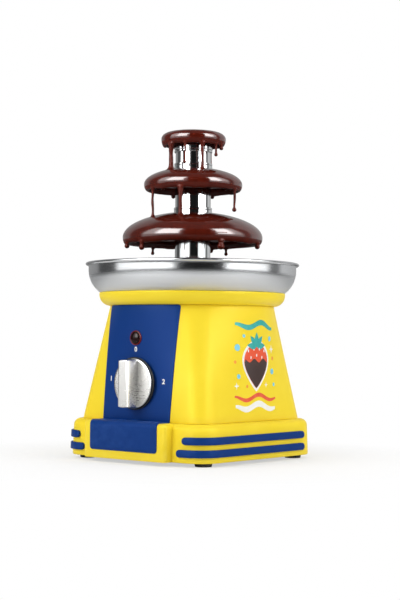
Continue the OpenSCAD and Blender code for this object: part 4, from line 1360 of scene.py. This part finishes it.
@dataclass
class Chocolate(Assembly):
    """The coats on the tiers with their streams and drips, the foot's ring and the crown, in millimetres."""

    thick: float = 4.3
    edge_w: float = 3.6
    edge_h: float = 6.4
    voxel: float = 0.62
    embed: float = 0.8
    neck: float = 2.4
    drop: float = 1.45
    slim: float = 0.82
    flare: float = 0.75
    uneven: float = 0.16
    flatten: float = 0.55
    splash: Pair = (1.3, 1.5)
    sway: Pair = (0.7, 0.8)
    edge_drop: Pair = (0.1, 1.6)
    sleeve: float = 18.1
    levels: int = 40
    points: int = 20
    foot_bore: float = 16.85
    foot_r: float = 24.05
    foot_span: Pair = (153.75, 166.4)
    foot_level: float = 164.5
    crown_r: float = 14.55
    crown_low: float = 305.32
    crown_wall: float = 0.9
    crown_h: float = 2.5
    swirl: Pair = (0.28, 1.7)

    def _coat(self, bm: Form, tier: Tier) -> None:
        """Adds a tier's coat, with an uneven lower edge.

        Args:
            bm: The mesh that takes it.
            tier: The tier.
        """
        r, z, hole, crown = tier.radius, tier.z, tier.hole, tier.z + tier.crown
        over, under = ([p for p in tier.line(inset, steps) if p[0] > hole + 0.4]
                       for inset, steps in ((0.0, 40), (self.thick, 30)))
        if tier is TOP:
            over.append((hole, crown - 0.7))
            under = [p for p in under if p[0] > self.sleeve + 0.5]
            under += [(self.sleeve, crown - self.thick), (self.sleeve, crown - 2.2), (hole, crown - 2.0)]
        else:
            over.append((hole, tier.height(hole)))
            under.append((hole, tier.height(hole, self.thick)))
        edge = arc((r - self.edge_w, z), (self.edge_w, self.edge_h), 0, -90, 8)
        edge += arc((r - self.edge_w, z - 1.0), (1.2, self.edge_h - 1.0), -100, -180, 6)
        start = len(bm.verts)
        lathe(bm, over[::-1] + edge[1:] + under, 180)
        bm.verts.ensure_lookup_table()
        for vert in bm.verts[start:]:
            reach = vert.co.xy.length
            if reach <= r - 9:
                continue
            ring = Vector((*(vert.co.xy / reach), z / 40))
            wave = noise.noise(ring * 2.6) + 0.6 * noise.noise(ring * 6.5)
            low = min(max((z - vert.co.z) / self.edge_h, 0.0), 1.0)
            vert.co.z -= low * (self.edge_drop[0] + self.edge_drop[1] * max(wave - 0.1, 0.0))
            vert.co.xy *= 1 + 0.3 * noise.noise(ring * 3.7 + Vector((5, 1, 2))) / reach

    def _column(self, bm: Form, tier: Tier, drip: Drip, below: Tier | None) -> None:
        """Adds a stream that lands on the tier below, or a drip that ends in a drop.

        Args:
            bm: The mesh that takes it.
            tier: The tier it comes from.
            drip: Its place and size.
            below: The tier it may land on.
        """
        out = tier.radius - 0.7 * self.edge_w
        spin = Matrix.Rotation(math.radians(drip.direction), 3, "Z")
        top, foot = tier.z - 1.0, tier.z - self.edge_h
        lands = drip.length == 0.0 and below is not None
        end = below.height(out) - 1.2 if lands else foot - drip.length
        drop = drip.radius * self.drop
        seed = Vector((drip.direction, tier.z, 0)) / 9
        rings = []
        for k in range(self.levels + 1):
            z = lerp(top, end, k / self.levels)
            fall = max(foot + 0.8 - z, 0.0)
            neck, sway = math.exp(-fall / self.neck), min(fall / 12, 1.0)
            lumps = noise.noise(seed + Vector((0, 0, z / 6)))
            r = drip.radius * (self.slim + self.flare * neck + self.uneven * lumps)
            if lands:
                r += drip.radius * self.splash[0] * math.exp(-(z - end) / self.splash[1])
            else:
                rise = (z - end) / drop
                if rise < 2.2:
                    r = max(drop * math.sqrt(max(1 - (rise - 1) ** 2, 0.0)), r * min(rise, 1))
                r = max(r, 0.05)
            deep = r * lerp(1.0, self.flatten, neck)
            x = out + self.sway[0] * sway * noise.noise(seed + Vector((z / 14, 3, 0)))
            y = self.sway[1] * sway * noise.noise(seed + Vector((7, z / 15, 0)))
            if z > foot:
                curve = self.edge_w * (1 - math.sqrt(1 - ((tier.z - z) / self.edge_h) ** 2))
                x = tier.radius - curve - self.embed - deep
                x += (out + deep - tier.radius + self.edge_w + self.embed) * ((top - z) / (top - foot)) ** 3
            rings.append([spin @ Vector((*p, z)) for p in arc((x, y), (deep, r), 0, 360, self.points)[:-1]])
        ends = [[(ring[0] + ring[self.points // 2]) / 2] for ring in (rings[0], rings[-1])]
        skin(bm, [ends[0], *rings, ends[1]])

    @staticmethod
    def _hangs(r: float, z: float) -> bool:
        """Whether a point is on a stream or under a rim, and not on a tier's upper side."""
        under = [tier for tier in TIERS if z > tier.z - 2.5]
        return not under or z > under[-1].height(r) + 0.8

    def build_flow(self) -> None:
        """Makes all the chocolate that runs over the tiers, as one skin with soft joins."""
        bm = bmesh.new()
        for tier, below, drips in FALLS:
            self._coat(bm, tier)
            for drip in drips:
                self._column(bm, tier, drip, below)
        flow = piece("chocolate_flow", bm)
        remesh = flow.modifiers.new("skin", "REMESH")
        remesh.mode = "VOXEL"
        remesh.voxel_size = self.voxel * MM
        soft = flow.modifiers.new("soft", "SMOOTH")
        soft.factor = 0.5
        soft.iterations = 5
        settle(flow, 180)
        for face in flow.data.polygons:
            x, y, z = face.center / MM
            face.material_index = int(self._hangs(math.hypot(x, y), z))
        self.look.dress(flow, "chocolate", "coat_bottom", "coat_middle", "coat_top", "chocolate_streams",
                        body=Body.TOWER, finishes=("chocolate", "thin_chocolate"))

    def build_foot(self) -> None:
        """Makes the chocolate that stands round the tower's foot."""
        bore, r, (low, top), level = self.foot_bore, self.foot_r, self.foot_span, self.foot_level
        profile = fillet([(bore, low, 0), (r - 0.1, low, 0), (r, level - 0.3, 0.3), (r - 4.55, level, 2.0),
                          (bore + 0.75, top, 0.6), (bore, top, 0)], 5)
        obj = turned("foot_ring", profile, 128, sharp=SOFT)
        self.look.dress(obj, "chocolate", "foot_chocolate", body=Body.TOWER)

    def build_crown(self) -> None:
        """Makes the chocolate that wells up on the auger's top, drawn into a spiral."""
        r, low, wall = self.crown_r, self.crown_low, self.crown_low + self.crown_wall
        height, pitch = self.swirl
        dome = arc((0, wall), (r, self.crown_h - self.crown_wall), 0, 90, 14)[:-1]
        bm = lathe(bmesh.new(), [(0.0, low), (r, low), *dome, (0.0, low + self.crown_h)], 96, loop=False)
        for vert in bm.verts:
            reach = vert.co.xy.length
            if vert.co.z > low + 1.0 and reach > 1:
                turn = 2 * math.atan2(vert.co.y, vert.co.x) - reach / pitch
                vert.co.z += height * math.sin(turn) * min(reach / 5, 1) * (1 - (reach / r) ** 4)
        self.look.dress(piece("crown_swirl", bm, SOFT), "chocolate", "auger_crown", body=Body.AUGER)

    def build(self) -> None:
        """Builds every piece."""
        self.build_flow()
        self.build_foot()
        self.build_crown()


@dataclass
class Works(Assembly):
    """The auger's flight and the cord inlet, in millimetres."""

    core_r: float = 6.6
    tip_r: float = 14.4
    pitch: float = 26.0
    span: Pair = (156.3, 303.2)
    start: float = 154.3
    steps: int = 36
    inlet: Pair = (84.0, 18.5)
    sleeve: Pair = (3.6, 5.9)
    sleeve_ends: Pair = (-10.0, 4.4)
    flange_r: float = 9.0
    flutes: int = 16
    flute: float = 0.045

    def build_flight(self) -> None:
        """Makes the auger's flight as one smooth screw blade, thinner at its tip."""
        (low, high), tip = self.span, self.tip_r
        under = [(self.core_r, -1.9), (10.0, -1.35), (tip - 0.3, -1.0), (tip, -0.6)]
        section = under + [(r, -h) for r, h in reversed(under)]
        count = int((high - low) / self.pitch * self.steps)
        rings = []
        for k in range(count + 1):
            z = lerp(low, high, k / count)
            a = 2 * math.pi * (z - self.start) / self.pitch
            rings.append([Vector((r * math.cos(a), r * math.sin(a), z + h)) for r, h in section])
        self.look.dress(lofted("screw_blade", rings), "pale_plastic", "auger_flight", body=Body.AUGER)

    def build_inlet(self) -> None:
        """Makes the cord inlet's flanged sleeve, open through its middle, with flutes round its flange."""
        (rear, z), (bore, r), (low, high), flange = self.inlet, self.sleeve, self.sleeve_ends, self.flange_r
        profile = fillet([(bore, low, 0.3), (r, low, 0.4), (r, 1.2, 0), (flange, 1.2, 0.2),
                          (flange, 2.0, 0.3), (flange - 1.4, 4.0, 0.8), (r - 0.3, high, 0.5),
                          (bore, high, 0.6)], 4)
        bm = lathe(bmesh.new(), profile, 96)
        for vert in bm.verts:
            if vert.co.xy.length > flange - 1.8:
                around = self.flutes * math.atan2(vert.co.y, vert.co.x)
                vert.co.xy *= 1 - self.flute * max(math.cos(around), 0.0)
        place = Matrix.Translation((0, rear, z)) @ Matrix.Rotation(-math.pi / 2, 4, "X")
        bmesh.ops.transform(bm, matrix=place, verts=bm.verts)
        self.look.dress(piece("inlet_sleeve", bm), "black_plastic", "cord_gland")

    def build(self) -> None:
        """Builds both pieces."""
        self.build_flight()
        self.build_inlet()


# Side print

@dataclass
class SidePrint(Assembly):
    """A plain fruit-and-waves print on the right-hand face of the body, in millimetres."""

    fruit_z: float = 88.0
    fruit_half: float = 17.0
    fruit_h: float = 42.0
    leaf_drop: float = 4.2
    layer: float = 0.05
    first: float = 0.08
    sunk: float = 0.1
    seeds: tuple[Pair, ...] = ((-8, 95), (0, 97), (8, 95), (-11.5, 101), (-4, 102.5), (4, 102.5),
                               (11.5, 101))
    waves: tuple[tuple[Ink, float, float, float, float], ...] = (
        (Ink.TEAL, 122.0, 5.0, 27, 0.4), (Ink.RED, 57.0, 3.8, 30, 0.9), (Ink.WHITE, 48.0, 5.6, 29, 0.9))
    dots: tuple[tuple[Ink, tuple[Triple, ...]], ...] = (
        (Ink.SKY, ((-25, 104, 3.1), (25.5, 82, 2.7), (-24, 78, 2.2), (22, 112, 2.4), (-17, 114.5, 1.6),
                   (28, 70, 1.7))),
        (Ink.AMBER, ((-28, 91, 1.6), (27, 94, 1.9), (-13, 69, 1.5))))
    sparks: tuple[Triple, ...] = ((25, 102.5, 4.0), (-27, 69.5, 3.4), (15, 70, 2.6))

    def _fruit(self, scale: float, top: float = 1.0) -> list[Pair]:
        """The berry's outline.

        Args:
            scale: Its size.
            top: The share of its height that is kept, with a wavy upper edge if it isn't all.

        Returns:
            The outline.
        """
        count, waves, swing = 26, 24, 1.7
        right = []
        for k in range(count + 1):
            s = top * k / count
            w = self.fruit_half * math.sin(math.pi * s ** 1.35) ** 0.62 if 0 < s < 1 else 0.0
            right.append((w * scale, (s - 0.5) * self.fruit_h * scale))
        left = [(-x, y) for x, y in reversed(right[1:] if top < 1 else right[1:-1])]
        edge = []
        if top < 1:
            w, y = right[-1]
            edge = [(lerp(w, -w, k / waves), y + swing - swing * math.cos(5 * math.pi * k / waves))
                    for k in range(1, waves)]
        return [(x, y + self.fruit_z) for x, y in right + edge + left]

    def _leaf(self, angle: float) -> list[Pair]:
        """One leaf of the berry's crown.

        Args:
            angle: How far it leans, in degrees.

        Returns:
            The outline.
        """
        spine = [(0, 0), (2.4, 2.6), (3.0, 6.0), (1.9, 9.6), (0, 13.0), (-1.9, 9.6), (-3.0, 6.0), (-2.4, 2.6)]
        base = Vector((0.0, self.fruit_z + self.fruit_h / 2 - self.leaf_drop))
        spin = Matrix.Rotation(math.radians(angle), 2)
        return [tuple(base + spin @ Vector(p)) for p in spine]

    @staticmethod
    def _wave(v: float, thick: float, half: float, lag: float) -> list[Pair]:
        """A ribbon that waves from one side to the other and thins towards its ends.

        Args:
            v: Its height.
            thick: Its width in the middle.
            half: Half its length.
            lag: Where in the wave its middle is, in radians.

        Returns:
            The outline.
        """
        steps = 36
        across = [lerp(-half, half, k / steps) for k in range(steps + 1)]
        line = [(u, v + 2.3 * math.sin(u / 5.6 + lag)) for u in across]
        return line + [(u, y + thick * (1 - 0.55 * abs(u / half) ** 3)) for u, y in reversed(line)]

    @staticmethod
    def _spark(u: float, v: float, r: float) -> list[Pair]:
        """A spark with four points.

        Args:
            u: Distance of its middle across the face.
            v: Height of its middle.
            r: Its reach.

        Returns:
            The outline.
        """
        tips, notches = (arc((u, v), (reach, reach), first, first + 360, 4)[:-1]
                         for reach, first in ((r, 0), (0.3 * r, 45)))
        return [p for both in zip(tips, notches) for p in both]

    def shapes(self) -> list[tuple[Ink, int, list[Pair]]]:
        """Lists the print's shapes.

        Returns:
            Ink, layer and outline of each shape.
        """
        rows = [(Ink.WHITE, 0, self._fruit(1.13)), (Ink.RED, 1, self._fruit(1.0)),
                (Ink.DARK, 2, self._fruit(0.985, 0.56))]
        rows += [(Ink.TEAL, 2 + i % 2, self._leaf(a)) for i, a in enumerate((0, 42, -42, 84, -84))]
        rows += [(Ink.WHITE, 2, arc(spot, (0.75, 1.4), 0, 360, 12)[:-1]) for spot in self.seeds]
        rows += [(ink, 0, self._wave(*sizes)) for ink, *sizes in self.waves]
        rows += [(ink, 0, arc((u, v), (r, r), 0, 360, 24)[:-1])
                 for ink, spots in self.dots for u, v, r in spots]
        return rows + [(Ink.WHITE, 0, self._spark(*spot)) for spot in self.sparks]

    def build(self, face: Surface) -> None:
        """Builds and dresses the print.

        Args:
            face: The body's right-hand surface.
        """
        whole = bmesh.new()
        inks = list(Ink)
        for ink, layer, outline in self.shapes():
            bm = slab(outline, -self.sunk, self.first + self.layer * layer, 0.0, (3.0, 6.0))
            for side in bm.faces:
                side.material_index = inks.index(ink)
            absorb(whole, wrap(bm, face))
        self.look.dress(piece("side_print", whole, SOFT), "yellow_plastic",
                        finishes=[ink.finish() for ink in inks])


# Studio

@dataclass
class Studio:
    """Camera, lamps, floor and surroundings; lengths in metres, angles in degrees."""

    azimuth: float = 40.2
    roll: float = 0.45
    distance: float = 1.313
    eye: float = 0.112
    focal_px: float = 1391.0
    image: tuple[int, int] = (400, 600)
    axis_px: float = 191.9
    horizon_px: float = 338.3
    floor_r: float = 0.95
    fade: Pair = (0.1, 0.26)
    paper: Pair = (0.84, 0.88)
    far: Pair = (0.4, 0.7)
    far_paper: float = 0.1
    ambient: float = 0.4
    lamp_power: float = 7.0
    aim: float = 0.14
    wall_level: float = 1.7
    box_level: float = 12.0
    box_edge: float = 12.0
    dark_level: float = 0.01
    end_level: float = 0.12
    box_rise: Pair = (0.06, 0.12)
    ceiling: Pair = (0.72, 0.82)
    ground: Pair = (-0.1, -0.18)
    # Angles from the camera's direction, each with the surroundings' brightness there
    sectors: tuple[Pair, ...] = (
        (-180.0, 0.2), (-130.0, 0.2), (-121.0, 0.05), (-94.0, 0.05), (-87.0, 0.85), (-70.0, 0.87),
        (-60.0, 1.0), (-24.0, 1.0), (-16.0, 0.0), (33.0, 0.0), (40.0, 1.0), (68.0, 1.0), (78.0, 0.86),
        (88.0, 0.84), (95.0, 0.12), (107.0, 0.12), (115.0, 0.42), (180.0, 0.2))
    # Name, angle from the camera's direction, reach, height, size and share of the power
    lamps: tuple[tuple[str, float, float, float, float, float], ...] = (
        ("left_lamp", -58, 1.1, 0.62, 0.8, 1.0), ("right_lamp", 58, 1.1, 0.62, 0.8, 0.9),
        ("top_lamp", 0, 0.25, 1.35, 1.0, 0.6), ("rear_lamp", 180, 1.2, 0.7, 0.9, 0.5))

    def around(self, turn: float, reach: float, z: float) -> Vector:
        """A point round the axis, at an angle from the camera's direction."""
        a = math.radians(self.azimuth + turn)
        return Vector((reach * math.sin(a), -reach * math.cos(a), z))

    def build_camera(self) -> None:
        """Sets the camera where the photograph was taken from."""
        data = bpy.data.cameras.new("camera")
        data.sensor_fit = "VERTICAL"
        data.sensor_height = 36.0
        data.lens = self.focal_px / self.image[1] * data.sensor_height
        camera = bpy.data.objects.new("camera", data)
        camera.location = self.around(0, self.distance, self.eye)
        pitch = math.atan((self.horizon_px - self.image[1] / 2) / self.focal_px)
        yaw = math.atan((self.image[0] / 2 - self.axis_px) / self.focal_px)
        camera.rotation_euler = (math.pi / 2 + pitch, -math.radians(self.roll),
                                 math.radians(self.azimuth) - yaw)
        bpy.context.collection.objects.link(camera)
        bpy.context.scene.camera = camera

    def build_lamps(self) -> None:
        """Sets two large soft lamps beside the camera, and weaker ones above and behind."""
        for name, turn, reach, z, size, share in self.lamps:
            data = bpy.data.lights.new(name, "AREA")
            data.shape = "SQUARE"
            data.size = size
            data.energy = self.lamp_power * share
            lamp = bpy.data.objects.new(name, data)
            lamp.location = self.around(turn, reach, z)
            way = Vector((0, 0, self.aim)) - lamp.location
            lamp.rotation_euler = way.to_track_quat("-Z", "Y").to_euler()
            lamp.visible_glossy = False
            bpy.context.collection.objects.link(lamp)

    def build_world(self) -> None:
        """Makes a white background, and bright and dark sectors for the metal to show."""
        world = bpy.data.worlds.new("studio")
        bpy.context.scene.world = world
        world.use_nodes = True
        net = Net(world.node_tree)
        way = net.add("ShaderNodeTexCoord").outputs["Generated"]
        turn = {"Vector": way, "Angle": math.radians(-self.azimuth)}
        axes = net.axes(net.add("ShaderNodeVectorRotate", turn, rotation_type="Z_AXIS").outputs[0])
        angle = net.math("ARCTAN2", axes[0], net.math("MULTIPLY", axes[1], -1.0))
        ramp = net.add("ShaderNodeValToRGB", {0: net.span(angle, -math.pi, math.pi)})
        steps, level = ramp.color_ramp.elements, ramp.outputs[0]
        while len(steps) < len(self.sectors):
            steps.new(0.5)
        for step, (place, tone) in zip(steps, self.sectors):
            step.position = (place + 180) / 360
            step.color = grey(tone)
        wall = net.span(level, 0.0, 1.0, self.dark_level, self.wall_level)
        rise = net.span(axes[2], *self.box_rise)
        lamp = net.math("MULTIPLY", net.math("POWER", level, self.box_edge), rise)
        boxes = net.math("ADD", wall, net.math("MULTIPLY", lamp, self.box_level))
        ends = net.math("MAXIMUM", *(net.span(axes[2], *end) for end in (self.ceiling, self.ground)))
        shown = net.span(ends, 0.0, 1.0, boxes, self.end_level)
        path = net.add("ShaderNodeLightPath").outputs
        first = net.math("LESS_THAN", path["Diffuse Depth"], 0.5)
        mirrored = net.math("MULTIPLY", path["Is Glossy Ray"], first)
        colour = net.blend(mirrored, grey(self.ambient), shown)
        seen = net.math("MAXIMUM", path["Is Camera Ray"], path["Is Transmission Ray"])
        net.feed(world.node_tree.nodes["Background"], {"Color": net.blend(seen, colour, WHITE)})

    def build_floor(self) -> None:
        """Makes the pale floor, which turns into the background away from the object."""
        rings = [(r, 0.0) for r in (0.0, 120.0, 240.0, 420.0, self.floor_r / MM)]
        floor = turned("floor", rings, 96, loop=False)
        material, net, bsdf = shader("floor_paper")
        place = net.place()
        paper = net.blend(net.noise(place, 900.0, 4.0), *map(grey, self.paper))
        reach = net.reach(net.axes(place))
        path = net.add("ShaderNodeLightPath").outputs
        dim = net.math("MULTIPLY", net.span(reach, *self.far), path["Is Glossy Ray"])
        net.feed(bsdf, {"Base Color": net.blend(dim, paper, grey(self.far_paper)), "Roughness": 0.9,
                        "Specular IOR Level": 0.1})
        shown = net.math("MULTIPLY", net.span(reach, *self.fade, 0.55, 1.0), path["Is Camera Ray"])
        white = net.add("ShaderNodeEmission", {"Color": WHITE, "Strength": 1.0}).outputs[0]
        mixed = net.add("ShaderNodeMixShader", {0: shown, 1: bsdf.outputs[0], 2: white}).outputs[0]
        net.feed(material.node_tree.nodes["Material Output"], {"Surface": mixed})
        floor.data.materials.append(material)

    def build(self) -> None:
        """Builds the whole studio."""
        self.build_camera()
        self.build_lamps()
        self.build_world()
        self.build_floor()
        bpy.context.scene.view_settings.view_transform = "Standard"


def main() -> None:
    """Builds the studio and every sub-assembly, in order."""
    logging.basicConfig(level=logging.INFO, format="%(name)s: %(message)s")
    Studio().build()
    look = Look()
    housing = Housing(look)
    housing.build()
    Controls(look).build(housing.on_face(0))
    for kind in (Bowl, Tower, Chocolate, Works):
        kind(look).build()
    look.dress_nodes()
    SidePrint(look).build(housing.on_face(90))


if __name__ == "__main__":
    main()
